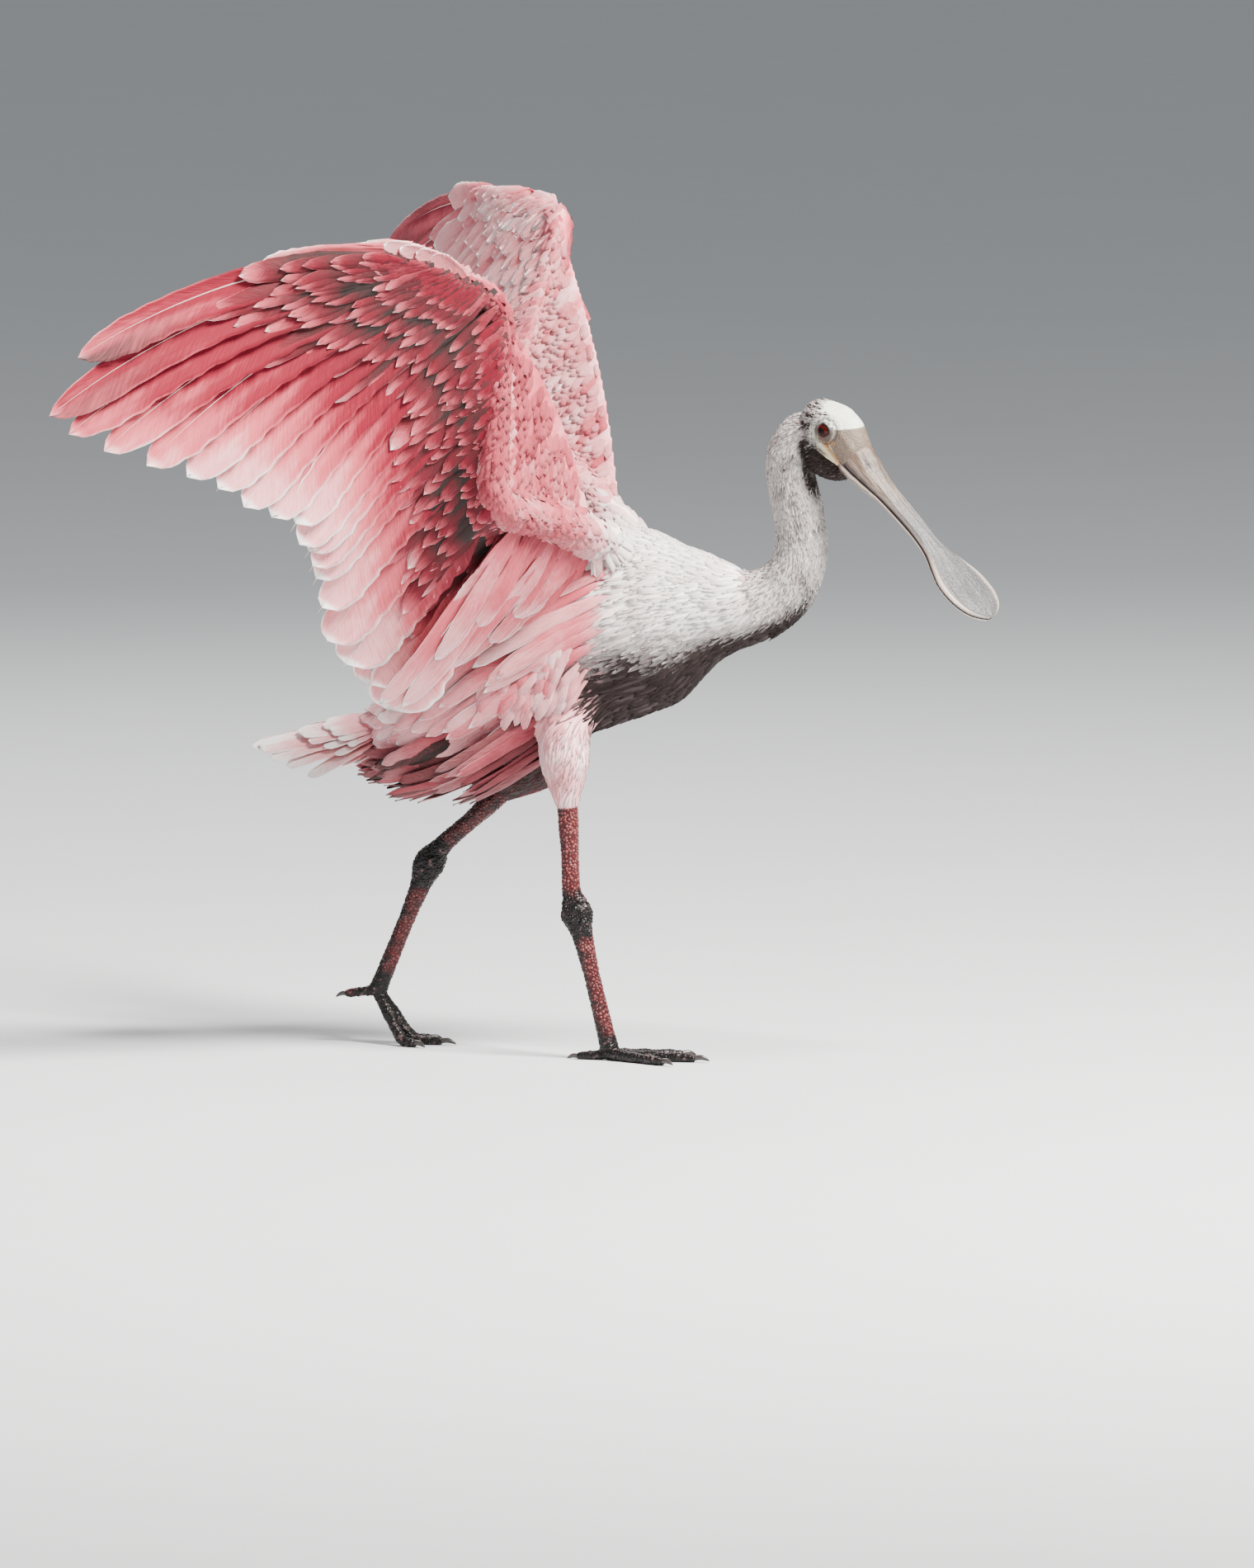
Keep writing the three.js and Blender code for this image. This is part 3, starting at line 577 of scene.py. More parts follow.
def relax(piece, weight, rounds):
    """Smooths a mesh by turns towards the middle of each point's neighbours, where the weight is high."""
    points = mesh_points(piece)
    ends = read(piece.data.edges, "vertices", 2, np.int32)
    degree = np.bincount(ends.ravel(), minlength=len(points))[:, None]
    for _ in range(rounds):
        total = np.column_stack([
            sum(np.bincount(a, column[b], len(points)) for a, b in (ends.T, ends.T[::-1]))
            for column in points.T])
        points = mix(points, total / degree, weight[:, None])
    set_points(piece, points)


def fused(shapes, name, voxel, calming):
    """One closed skin round several overlapping closed shapes."""
    piece = Batch(shapes).piece(name)
    melt = piece.modifiers.new("Melt", "REMESH")
    melt.mode = "VOXEL"
    melt.voxel_size = voxel
    calm = piece.modifiers.new("Calm", "SMOOTH")
    calm.factor = 0.5
    calm.iterations = calming
    return plain_mesh(piece)


def ripple(points, scale, seed):
    """Smooth noise from -1 to 1 made of a few crossing waves, for places in millimetres."""
    random = np.random.default_rng(seed)
    total = np.zeros(len(points))
    for octave in range(4):
        for _ in range(5):
            wave = unit(random.normal(size=3)) * 2 * np.pi / scale * 2 ** octave * random.uniform(0.7, 1.3)
            total += np.sin(points @ wave + random.uniform(0, 2 * np.pi)) / (5 * 1.6 ** octave)
    return total


# Settings shown in the sidebar

def length_setting(name, description, default):
    return FloatProperty(name=name, description=description, default=default, unit="LENGTH")


def colour_setting(name, description, *default):
    return FloatVectorProperty(name=name, description=description, default=default, subtype="COLOR")


class SpoonbillSizes(bpy.types.PropertyGroup):
    coat_depth: length_setting("Coat depth", "How far the body's skin lies below the outline", 0.0055)
    tuft_spacing: length_setting("Tuft spacing", "Least distance between small feathers", 0.0047)
    vane_thickness: length_setting("Vane thickness", "Thickness of a flight feather", 0.0004)
    seed: IntProperty(name="Seed", description="Seed of every random draw", default=7)


class SpoonbillColours(bpy.types.PropertyGroup):
    white: colour_setting("White", "Breast and neck feathers", 0.90, 0.86, 0.83)
    blush: colour_setting("Blush", "Pale pink feathers", 0.80, 0.36, 0.38)
    rose: colour_setting("Rose", "Pink feathers", 0.58, 0.095, 0.125)
    crimson: colour_setting("Crimson", "Deepest feathers", 0.22, 0.006, 0.022)
    # The soot colour also paints shade: on the belly, under the wings and at the roots of feathers.
    soot: colour_setting("Soot", "Dark flecks and wet feathers", 0.03, 0.018, 0.017)
    crown: colour_setting("Crown", "Bare skin of the crown", 0.58, 0.62, 0.53)
    bill: colour_setting("Bill", "Pale horn of the bill", 0.09, 0.087, 0.087)
    leg: colour_setting("Leg", "Bare skin of the legs", 0.085, 0.009, 0.012)
    floor: colour_setting("Floor", "Studio floor", 0.60, 0.62, 0.64)


def sizes():
    return bpy.context.scene.spoonbill_sizes


def colours():
    return bpy.context.scene.spoonbill_colours


# Node trees

class Value:
    """One output of a node. Sums and products of it add nodes of their own."""

    def __init__(self, nodes, socket):
        self.nodes, self.socket = nodes, socket

    def __add__(self, other):
        return self.nodes.math("ADD", self, other)

    def __sub__(self, other):
        return self.nodes.math("SUBTRACT", self, other)

    def __mul__(self, other):
        return self.nodes.math("MULTIPLY", self, other)


class Nodes:
    """Short calls for building a node tree."""

    def __init__(self, tree):
        self.tree = tree

    def put(self, socket, value):
        if isinstance(value, Value):
            self.tree.links.new(value.socket, socket)
        elif socket.type == "RGBA" and len(value) == 3:
            socket.default_value = (*value, 1)
        else:
            socket.default_value = value

    def node(self, kind, *values, out=0, settings=None, **inputs):
        """One output of a new node. Values fill its inputs in turn, others are named in small letters."""
        made = self.tree.nodes.new(kind)
        for key, value in (settings or {}).items():
            setattr(made, key, value)
        named = {key.replace("_", " ").title(): value for key, value in inputs.items()}
        for place, value in (*enumerate(values), *named.items()):
            if value is not None:
                self.put(made.inputs[place], value)
        return Value(self, made.outputs[out])

    def math(self, operation, *values):
        return self.node("ShaderNodeMath", *values, settings={"operation": operation})


class Recipe(Nodes):
    """Short calls for building a material."""

    def __init__(self, name):
        self.material = bpy.data.materials.new(name)
        self.material.use_nodes = True
        super().__init__(self.material.node_tree)
        self.shader = self.tree.nodes["Principled BSDF"]
        self.place = self.node("ShaderNodeTexCoord", out="Object")

    def value(self, name):
        return self.node("ShaderNodeAttribute", settings={"attribute_name": name}, out="Fac")

    def map(self, name):
        place = self.node("ShaderNodeUVMap", settings={"uv_map": name})
        return [self.node("ShaderNodeSeparateXYZ", place, out=out) for out in (0, 1)]

    def blend(self, factor, a, b):
        return self.node("ShaderNodeMix", factor, *[None] * 5, a, b, out=2, settings={"data_type": "RGBA"})

    def paint(self, colour, *layers):
        """Lays shades over a colour, each as strong as the factor that comes before it."""
        for factor, shade in layers:
            colour = self.blend(factor, colour, shade)
        return colour

    def noise(self, scale, detail=3.0, at=None, rough=0.6):
        place = at or self.place
        return self.node("ShaderNodeTexNoise", vector=place, scale=scale, detail=detail, roughness=rough)

    def cells(self, scale):
        return self.node(
            "ShaderNodeTexVoronoi", vector=self.place, scale=scale, out="Distance",
            settings={"feature": "DISTANCE_TO_EDGE"})

    def ramp(self, value, low, high):
        settings = {"interpolation_type": "SMOOTHSTEP"}
        return self.node("ShaderNodeMapRange", value, low, high, 0.0, 1.0, settings=settings)

    def vector(self, x, y, z):
        return self.node("ShaderNodeCombineXYZ", x, y, z)

    def finish(self, colour, bumps=None, **values):
        """Gives the shader its colour, the height, distance and strength of its bumps, and its other values."""
        self.put(self.shader.inputs["Base Color"], colour)
        if bumps:
            height, distance, strength = bumps
            bumpy = self.node("ShaderNodeBump", strength=strength, distance=distance, height=height)
            self.put(self.shader.inputs["Normal"], bumpy)
        for key, value in values.items():
            self.put(self.shader.inputs[key.replace("_", " ").title().replace("Ior", "IOR")], value)

    def let_light_through(self, colour, share):
        """Mixes in light that comes through from the far side."""
        lit = self.node("ShaderNodeBsdfTranslucent", colour)
        both = self.node("ShaderNodeMixShader", share, Value(self, self.shader.outputs[0]), lit)
        self.put(self.tree.nodes["Material Output"].inputs["Surface"], both)


# Materials

def plumage_colour(r, tone, dusk):
    """White, blush, rose and crimson in turn as the tone rises, darkened by the dusk."""
    c = colours()
    return r.paint(
        c.white, (r.ramp(tone, 0.0, 0.34), c.blush), (r.ramp(tone, 0.3, 0.66), c.rose),
        (r.ramp(tone, 0.6, 1.0), c.crimson), (dusk, c.soot))


def feather_material(r):
    """Feathers: the map 'vane' runs across and along each one and carries its barbs, shaft and pale rim."""
    across, along = r.map("vane")
    vary, soot = r.value("vary"), r.value("soot")
    off_shaft = r.math("ABSOLUTE", across * 2.0 - 1.0)
    slant = along - off_shaft * 0.10
    shift = vary * 17.0
    barbs = r.noise(1.0, 2.0, r.vector(off_shaft * 1.3, slant * 90.0, shift))
    streaks = r.noise(1.0, 3.0, r.vector(across * 7.0, slant * 9.0, shift))
    small = r.math("GREATER_THAN", r.value("stature"), 0.0005)
    rim = r.math("MAXIMUM", r.ramp(off_shaft, 0.86, 1.0), r.ramp(along, 0.955, 1.0)) * r.ramp(along, 0.35, 0.9)
    bright = (small * -0.22 + 0.42) * (soot * -0.7 + 1.0)
    tone = r.value("tint") + (vary - 0.5) * 0.14 + (r.noise(26.0, 3.0) - 0.5) * 0.30
    tone = tone + (barbs - 0.5) * 0.20 + (streaks - 0.5) * 0.30 - rim * bright
    # Painted shade on the roots of small tufts, where the tips of their neighbours cover them.
    root_shade = small * r.ramp(along, 1.0, 0.35)
    dusk = soot * (small * -0.2 + 0.5 + barbs) + r.math("MAXIMUM", soot * 0.8 - 0.64, 0.0)
    colour = plumage_colour(r, tone, dusk + root_shade * (soot * 0.6 + 0.05))
    r.finish(
        colour, (barbs + streaks * 0.5, 0.0007, 0.8), roughness=0.6, sheen_weight=0.06, sheen_roughness=0.5,
        specular_ior_level=0.15)
    r.let_light_through(colour, 0.18)


def skin_material(r):
    """The skin under the feathers, in the same colours as the coat."""
    tone = r.value("tint") + (r.noise(60.0) - 0.5) * 0.3
    r.finish(plumage_colour(r, tone, r.value("soot") * 1.3 - 0.1), (r.noise(500.0), 0.0008, 0.6), roughness=0.8)


def head_material(r):
    """Bare skin of the head. The masks on the mesh carry its patches."""
    fine = r.noise(1100.0, 4.0, rough=0.7)
    broad = r.noise(170.0, 5.0)
    veins = r.cells(620.0)
    colour = r.paint(
        colours().crown, (r.ramp(broad, 0.3, 0.7), (0.76, 0.77, 0.68)),
        (r.ramp(fine, 0.5, 0.75) * 0.25, (0.40, 0.42, 0.36)))
    for mask, shade, low, high, pattern, strength in (
            ("lores", (0.50, 0.48, 0.33), 0.0, 0.45, broad, 0.85),
            ("tan", (0.095, 0.058, 0.038), 0.0, 0.45, broad, 0.97),
            ("ochre", (0.46, 0.22, 0.04), 0.0, 0.2, broad, 0.95),
            ("lid", (0.016, 0.010, 0.007), 0.0, 0.3, fine, 0.95),
            ("grey", (0.06, 0.06, 0.065), 0.34, 0.56, fine, 0.95),
            ("yellow", (0.60, 0.52, 0.30), 0.1, 0.4, broad, 0.9),
            ("black", (0.012, 0.011, 0.012), 0.2, 0.5, fine, 0.95),
            ("red", (0.07, 0.016, 0.012), 0.0, 0.2, fine, 0.9)):
        colour = r.blend(r.value(mask) * r.ramp(pattern, low, high) * strength, colour, shade)
    colour = r.blend(r.ramp(veins, 0.10, 0.0) * 0.30, colour, (0.20, 0.17, 0.14))
    r.finish(
        colour, (veins + fine * 0.6, 0.0006, 0.7), roughness=0.45, specular_ior_level=0.45,
        subsurface_weight=0.06, subsurface_scale=0.002)


def bill_material(r):
    """Horn of the bill: streaked tan at its root, speckled silver on the spoon, with pale rims and painted
    shade in the nostrils and along the mouth.
    """
    along, across = r.map("horn")
    streaks = r.noise(1.0, 4.0, r.vector(along * 8.0, across * 30.0, 0.0), 0.7)
    blotch = r.noise(1.0, 4.0, r.vector(along * 30.0, across * 9.0, 4.0), 0.7)
    speck = r.noise(620.0, 4.0, rough=0.85)
    horn = r.paint(
        (0.025, 0.017, 0.013), (r.ramp(streaks, 0.38, 0.62), (0.20, 0.145, 0.108)),
        (r.ramp(blotch, 0.5, 0.7) * 0.6, (0.11, 0.10, 0.10)))
    colour = r.paint(
        (0.045, 0.045, 0.05), (r.ramp(speck, 0.40, 0.58), colours().bill),
        (r.ramp(streaks, 0.5, 0.75) * 0.25, (0.50, 0.47, 0.42)), (r.ramp(along, 0.50, 0.18), horn),
        (r.value("tan"), (0.105, 0.066, 0.043)), (r.value("pale"), (0.72, 0.56, 0.46)),
        (r.value("dark"), (0.018, 0.010, 0.009)))
    rough = streaks + (blotch * 0.5 + speck * 0.4)
    r.finish(colour, (rough, 0.0007, 0.7), roughness=0.33, specular_ior_level=0.5)


def eye_material(r):
    """Dark red iris with fine rays, round a black pupil."""
    out = r.value("ring")
    rays = r.noise(1.0, 3.0, r.vector(r.value("turn") * 22.0, out * 2.0, 0.0))
    iris = r.blend(r.ramp(rays, 0.35, 0.65), (0.010, 0.001, 0.001), (0.065, 0.0035, 0.002))
    colour = r.paint(
        (0.002, 0.002, 0.002), (r.ramp(out, 0.46, 0.54), iris),
        (r.ramp(out, 0.68, 0.88), (0.012, 0.003, 0.003)))
    r.finish(colour, roughness=0.3, specular_ior_level=0.0, coat_weight=0.25, coat_roughness=0.02)


def leg_material(r):
    """Bare legs: a value on the mesh blackens the joints and toes and paints shade on the legs."""
    scaled = r.material.name == "leg_scales"
    flecks = r.noise(260.0, 4.0)
    # Scales turn paler pink at random: painted highlight on the scales, partly their own paler colour.
    colour = r.paint(
        colours().leg, (r.ramp(flecks, 0.4, 0.66), (0.15, 0.016, 0.014)),
        (r.value("vary") * 0.38, (0.40, 0.15, 0.14)) if scaled else (0.75, (0.03, 0.005, 0.006)),
        (r.ramp(r.noise(900.0, 3.0), 0.5, 0.7) * 0.35, (0.03, 0.008, 0.008)))
    black = r.blend(r.ramp(flecks, 0.55, 0.7) * 0.5, (0.004, 0.003, 0.003), (0.20, 0.11, 0.11))
    darker = r.value("dark") + (flecks - 0.5) * 0.6
    colour = r.blend(r.ramp(darker, 0.15, 0.85), colour, black)
    r.finish(colour, (r.cells(430.0) + flecks * 0.6, 0.0008, 0.7), roughness=0.30, specular_ior_level=0.24)


def claw_material(r):
    colour = r.blend(r.noise(200.0), (0.01, 0.009, 0.009), (0.05, 0.04, 0.036))
    r.finish(colour, (r.noise(400.0), 0.0004, 0.5), roughness=0.3)


def shaft_material(r):
    c = colours()
    colour = r.paint(
        (0.80, 0.68, 0.62), (r.ramp(r.value("tint"), 0.0, 1.0), c.crimson), (r.noise(240.0) * 0.4, c.rose))
    r.finish(colour, roughness=0.35, specular_ior_level=0.5)


def floor_material(r):
    shade = colours().floor
    colour = r.blend(r.ramp(r.noise(6.0, 2.0), 0.3, 0.7), shade, tuple(0.985 * v for v in shade))
    r.finish(colour, roughness=0.7)


MATERIALS = {
    "feathers": feather_material, "feather_shafts": shaft_material, "body_skin": skin_material,
    "head_hide": head_material, "bill_horn": bill_material, "eye_glass": eye_material, "leg_hide": leg_material,
    "leg_scales": leg_material, "claw_horn": claw_material, "studio_floor": floor_material,
}


def material(name):
    """The material of that name, made the first time it is asked for."""
    if name not in bpy.data.materials:
        MATERIALS[name](Recipe(name))
    return bpy.data.materials[name]


def keep(piece, slot, *nodes):
    """The piece rides the body and stands for the nodes, whose parts it hides. The slot is not used."""
    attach(piece, "root")
    if nodes:
        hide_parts(*nodes)


# Places on the body

body_line = BODY_STATIONS[:, :3]


def body_surface(share, turn, grow=0.0):
    """Places on the body's outline: turn is 0 on the back, a quarter of a circle on its right side."""
    share, turn = np.broadcast_arrays(np.atleast_1d(share), np.atleast_1d(turn))
    middle, ahead = spline(body_line, share), heading(body_line, share, 0.01)
    half, rise, drop = (v[:, None] for v in spline(BODY_STATIONS[:, 3:], share).T)
    side = unit(RIGHT - ahead * (ahead @ RIGHT)[:, None])
    top = np.cross(side, ahead)
    x, y = np.sin(turn)[:, None], np.cos(turn)[:, None]
    tall = np.where(y > 0, rise, drop)
    outward = unit(side * x * tall + top * y * half)
    return middle + side * x * half + top * y * tall + outward * np.reshape(grow, (-1, 1)), outward


def leg_line(leg):
    return np.array([leg["knee"], leg["thigh"], leg["cuff"]], float)


def arm_line(wing):
    shoulder, elbow, wrist, finger = spots(wing, "shoulder", "elbow", "wrist", "finger")
    inside = mix(shoulder, elbow, -0.3)
    return np.array([
        inside, (shoulder + elbow) / 2, elbow, (elbow + wrist) / 2, wrist, (wrist + finger) / 2, finger])


def plumage_tint(points, normals, share):
    """How pink and how dark the plumage is at places of the body: one rule for skin and coat. The darkness is
    painted shade where the body, the rump and the neck face down, plus a dark chin and grey flecks on the neck.
    """
    x = points[:, 0]
    patches = ripple(points, 62, 3)
    downward = ease(0.20, -0.55, normals[:, 2] + 0.28 * ease(75, 135, x))
    rear = ease(58, 2, x + 10 * patches)
    tint = 0.03 + 0.03 * patches + rear * (0.42 + 0.15 * patches)
    tint += 0.20 * ease(-105, -150, x) + 0.12 * rear * downward
    tint += 0.04 * ease(40, 110, x) * downward
    neck = ease(0.56, 0.64, share)
    tint = mix(tint, 0.01 + 0.03 * ripple(points, 24, 5), neck)
    # Painted shade where the body faces down: on the belly and under the rump.
    soot = 1.3 * downward * ease(-10, 60, x) * (1 - 0.75 * neck)
    soot += 0.55 * ease(-20, -90, x) * ease(-0.25, -0.8, normals[:, 2])
    flecks = 0.5 * ripple(points, 4, 6) + 0.6 * ripple(points, 15, 7)
    soot += neck * (0.22 + 0.50 * ease(-0.1, 0.8, flecks))
    chin = np.linalg.norm(points - in_head(-15.0, 0.0, -17.0), axis=1)
    # The chin is dark, and the underside of the neck gets painted shade.
    soot += 0.85 * ease(17, 7, chin) + 0.6 * neck * ease(-0.1, -0.8, normals[:, 2])
    return np.clip(tint, 0, 1), np.clip(soot, 0, 1.3)


# Skin

def patagium_slab(wing):
    """The skin stretched in front of the elbow, as a closed slab."""
    shoulder, elbow, wrist = spots(wing, "shoulder", "elbow", "wrist")
    face = unit(np.cross(shoulder - elbow, wrist - elbow))
    forward = unit(np.cross(unit(wrist - shoulder), face))
    if forward @ (elbow - shoulder) > 0:
        forward = -forward
    u, v = np.meshgrid(np.linspace(0, 1, 25), np.linspace(0, 1, 13), indexing="ij")
    u, v = u[..., None], v[..., None]
    arm = np.where(u < 0.5, mix(shoulder, elbow, 2 * u), mix(elbow, wrist, 2 * u - 1))
    edge = mix(shoulder, wrist, u) + forward * wing["bulge"] * np.sin(np.pi * u)
    middle, off = mix(arm, edge, v), face * PATAGIUM_THICKNESS / 2
    return closed(np.concatenate([middle + off, (middle - off)[:, ::-1]], axis=1))


def fused_body():
    depth = sizes().coat_depth * 1000
    t = np.linspace(0, 1, 160)
    inset = -mix(depth, NECK_COAT_DEPTH, ease(0.5, 0.62, t)) * ease(0, 0.08, t)
    shapes = [closed(tube(body_line, BODY_STATIONS[:, 3:], sides=64, rings=160, grow=inset))]
    for name, leg in LEGS.items():
        line = leg_line(leg)
        line[0] += THIGH_TOP * [1, SIDES[name], 1]
        thigh = tube(line, THIGH_SKIN, sides=40, rings=40, grow=-THIGH_COAT_DEPTH)
        arm = tube(arm_line(WINGS[name]), ARM_RADII, across=FORWARD, grow=-ARM_COAT_DEPTH)
        shapes += [closed(thigh), closed(arm), patagium_slab(WINGS[name])]
    chin = in_head(CHIN[:, 0], np.zeros(len(CHIN)), CHIN[:, 1])
    shapes.append(closed(tube(chin, CHIN[:, 2:] * [0.9, 1, 1], across=head_right)))
    skin = fused(shapes, "skin", SKIN_VOXEL, 6)
    points = mesh_points(skin)
    weight = np.zeros(len(points))
    for leg in LEGS.values():
        away = np.linalg.norm((points - (np.array(leg["knee"]) + [0, 0, 4])) * [0.7, 1, 1], axis=1)
        weight = np.maximum(weight, KNEE_CALM["strength"] * ease(*KNEE_CALM["fade"], away))
    relax(skin, weight, KNEE_CALM["rounds"])
    return skin


class Region:
    """Values of the coat for the points of the skin, filled in part by part."""

    def __init__(self, points, normals):
        self.points, self.normals = points, normals
        self.share = share = nearest(points, body_line, 240)[1]
        ahead = heading(body_line, share, 0.01)
        away = points - spline(body_line, share)
        side = unit(np.cross(ahead, np.broadcast_to(UP + 0.02 * FORWARD, points.shape)))
        turn = np.arctan2(dot(away, side), dot(away, np.cross(side, ahead)))[:, 0] / (2 * np.pi) + 0.5
        neck = ease(0.50, 0.66, share)
        tint, soot = plumage_tint(points, normals, share)
        self.values = {
            "lie": -ahead + np.array([0, 0, -0.12]),
            "size": mix(1.0, 0.50, neck) * mix(1.0, 0.8, ease(0.2, 0.05, share)),
            "cover": ease(1.01, 0.999, share),
            "tint": tint,
            "soot": soot,
            "cling": mix(0.93, 0.80, ease(0.3, 0.1, share)),
            "chart": np.column_stack([turn * 0.96 + 0.02, share * 0.56 + 0.02]),
            "part": np.searchsorted(PART_ENDS, share, side="right"),
        }

    def blend(self, on, **values):
        """Mixes new values in where 'on' is high."""
        for key, value in values.items():
            old = self.values[key]
            self.values[key] = mix(old, np.asarray(value, float), on[:, None] if old.ndim > 1 else on)

    def lay(self, here, **values):
        """Puts new values in at the points picked out."""
        for key, value in values.items():
            self.values[key][here] = np.broadcast_to(value, self.values[key].shape)[here]

    def fill_chin(self):
        away = np.linalg.norm(self.points - in_head(2.0, 0.0, -15.0), axis=1)
        on = ease(28, 19, away)
        self.blend(
            on, lie=[-1.0, 0.0, -0.5], size=0.36, tint=0.04, soot=1.1 + 0.3 * ripple(self.points, 5, 9),
            cling=0.85, cover=1.0)
        self.lay(on > 0.5, part=NECK_PART)

    def fill_thigh(self, k, name):
        points = self.points
        line = leg_line(LEGS[name])
        away, along = nearest(points, line)
        radius = spline(np.column_stack([THIGH_RADII] * 3), along)[:, 0]
        on = ease(2.5, -1.5, away - radius) * ease(0.05, 0.4, along)
        forward, aside = points[:, 0] - spline(line, along)[:, 0], points[:, 1] - line[1, 1]
        spin = np.arctan2(aside, forward) / (2 * np.pi) + 0.5
        # Painted shade on the inner side of the far thigh, which is deeper in colour and darker there.
        far_thigh_shade = ease(0.35, -0.3, self.normals[:, 1]) if name == "left" else 0
        self.blend(
            on, lie=heading(line, along, 0.03) - 0.25 * FORWARD, size=mix(0.74, 0.46, along),
            tint=0.26 + 0.16 * ripple(points, 26, 30 + k) + 0.3 * far_thigh_shade, soot=0.04 + 0.85 * far_thigh_shade, cling=0.95)
        chart = np.column_stack([0.02 + spin * 0.2 + 0.24 * k, 0.62 + along * 0.3])
        self.lay(on > 0.5, chart=chart, part=THIGH_PART)

    def fill_wing(self, k, name):
        wing, points = WINGS[name], self.points
        away_arm, along = nearest(points, arm_line(wing))
        away_body = np.linalg.norm(points - spline(body_line, self.share), axis=1)
        girth = np.interp(along, np.linspace(0, 1, len(ARM_RADII)), ARM_RADII)
        beyond = (np.abs(points[:, 1]) > WING_COAT["aside"]) | (points[:, 2] > WING_COAT["above"])
        on = (np.sign(points[:, 1]) == SIDES[name]) & (points[:, 0] < WING_COAT["ahead"])
        on &= beyond | ((away_arm < girth + 2) & (away_body > WING_COAT["clear"]))
        lie, face, weights = 0, 0, 0
        for feather in range(0, FLIGHT_FEATHERS, 2):
            shaft = flight_shaft(name, feather)
            near = 1 / (np.linalg.norm(points - shaft.root, axis=1, keepdims=True) ** 4 + 1)
            lie = lie + near * unit(shaft.tip - shaft.root)
            face = face + near * shaft.face
            weights = weights + near
        shoulder, elbow, wrist = spots(wing, "shoulder", "elbow", "wrist")
        slab = unit(np.cross(shoulder - elbow, wrist - elbow))
        slab = slab * np.sign(slab @ flight_shaft(name, PRIMARIES + 4).face)
        face = mix(unit(face), slab, ease(0.66, 0.56, along)[:, None])
        over = ease(-0.25, 0.25, dot(self.normals, face)[:, 0])
        patches = ripple(points, 22, 40 + k)
        # The under faces of the arms are deeper pink than the upper ones: partly their own colour, partly
        # painted shade on the wings' undersides.
        under_tint = mix(0.78, 0.60, ease(0.62, 0.2, along)) + 0.12 * patches
        over_tint = mix(0.58, 0.42, ease(0.75, 0.45, along)) + 0.20 * patches
        loose = ease(0.36, 0.24, along) * ease(22, 14, away_arm)
        self.blend(
            on.astype(float), lie=lie / weights, size=mix(0.74, 0.85, loose),
            tint=mix(0.10, mix(under_tint, over_tint, over), ease(0.04, 0.15, along)), soot=0.04,
            cling=0.935, cover=1.0)
        upper = over > 0.5
        forward = np.clip((points[:, 0] + 120) / 240, 0, 1)
        chart = np.column_stack([0.52 + 0.24 * k + 0.2 * forward, 0.62 + 0.17 * along + 0.19 * upper])
        self.lay(on, chart=chart, part=np.where(upper, OVER_ARM, UNDER_ARM))


def body_skin():
    skin = fused_body()
    points, normals = mesh_points(skin), mesh_normals(skin)
    region = Region(points, normals)
    region.fill_chin()
    for k, name in enumerate(SIDES):
        region.fill_thigh(k, name)
        region.fill_wing(k, name)
    return finish_skin(skin, points, normals, region.values, "body_skin")


def finish_skin(skin, points, normals, values, stuff):
    """Stores the coat's values and the unwrap on a skin, places it in the frame and gives it its material."""
    store_map(skin, "chart", mended(skin.data, values.pop("chart")))
    values["lie"] = flat_on(values["lie"], normals)
    values["out"] = normals
    for key, value in values.items():
        store(skin, key, value)
    set_points(skin, to_frame(points))
    smooth(skin.data)
    skin.data.materials.clear()
    skin.data.materials.append(material(stuff))
    return skin


def mended(mesh, chart):
    """The unwrap for each corner, closed up where a face straddles the joint of the turn."""
    values = chart[corners_of(mesh)]
    starts = read(mesh.polygons, "loop_start", kind=np.int32)
    first = np.repeat(values[starts], read(mesh.polygons, "loop_total", kind=np.int32), axis=0)
    far = np.abs(values - first).max(1) > 0.15
    values[far] = first[far]
    return values


class SPOONBILL_OT_skin(bpy.types.Operator):
    """Make one skin over the torso, neck, thighs and arms"""

    bl_idname = "spoonbill.skin"
    bl_label = "Skin"

    def execute(self, context):
        keep(body_skin(), "body_feathers", "torso", "neck_lower", "neck_upper", "thigh_right", "thigh_left")
        return {"FINISHED"}


# Head, eyes and bill

def lid(side, upper):
    """A fold of skin round the upper or the lower half of the eye."""
    turn = np.linspace(0.0, np.pi, 40) + (0 if upper else np.pi)
    forward = np.cos(turn) * LID["long"]
    above = np.sin(turn) * (LID["tall"] * (0.93 if upper else 1.0))
    out = np.sqrt(np.maximum(EYE["radius"] ** 2 - forward ** 2 - above ** 2, 1)) + 0.45
    line = in_head(EYE["forward"] + forward, -side * (EYE["aside"] + out), EYE["above"] + above)
    radii = LID["upper" if upper else "lower"] * (0.55 + 0.45 * np.sin(np.linspace(0, np.pi, len(turn))))
    return closed(tube(line, radii, across=head_right, sides=12, rings=70))


def line_mask(value, width, *limits):
    """A line where the value is nought, kept to where every limit is high."""
    return math.prod(limits, start=np.exp(-(value / width) ** 2))


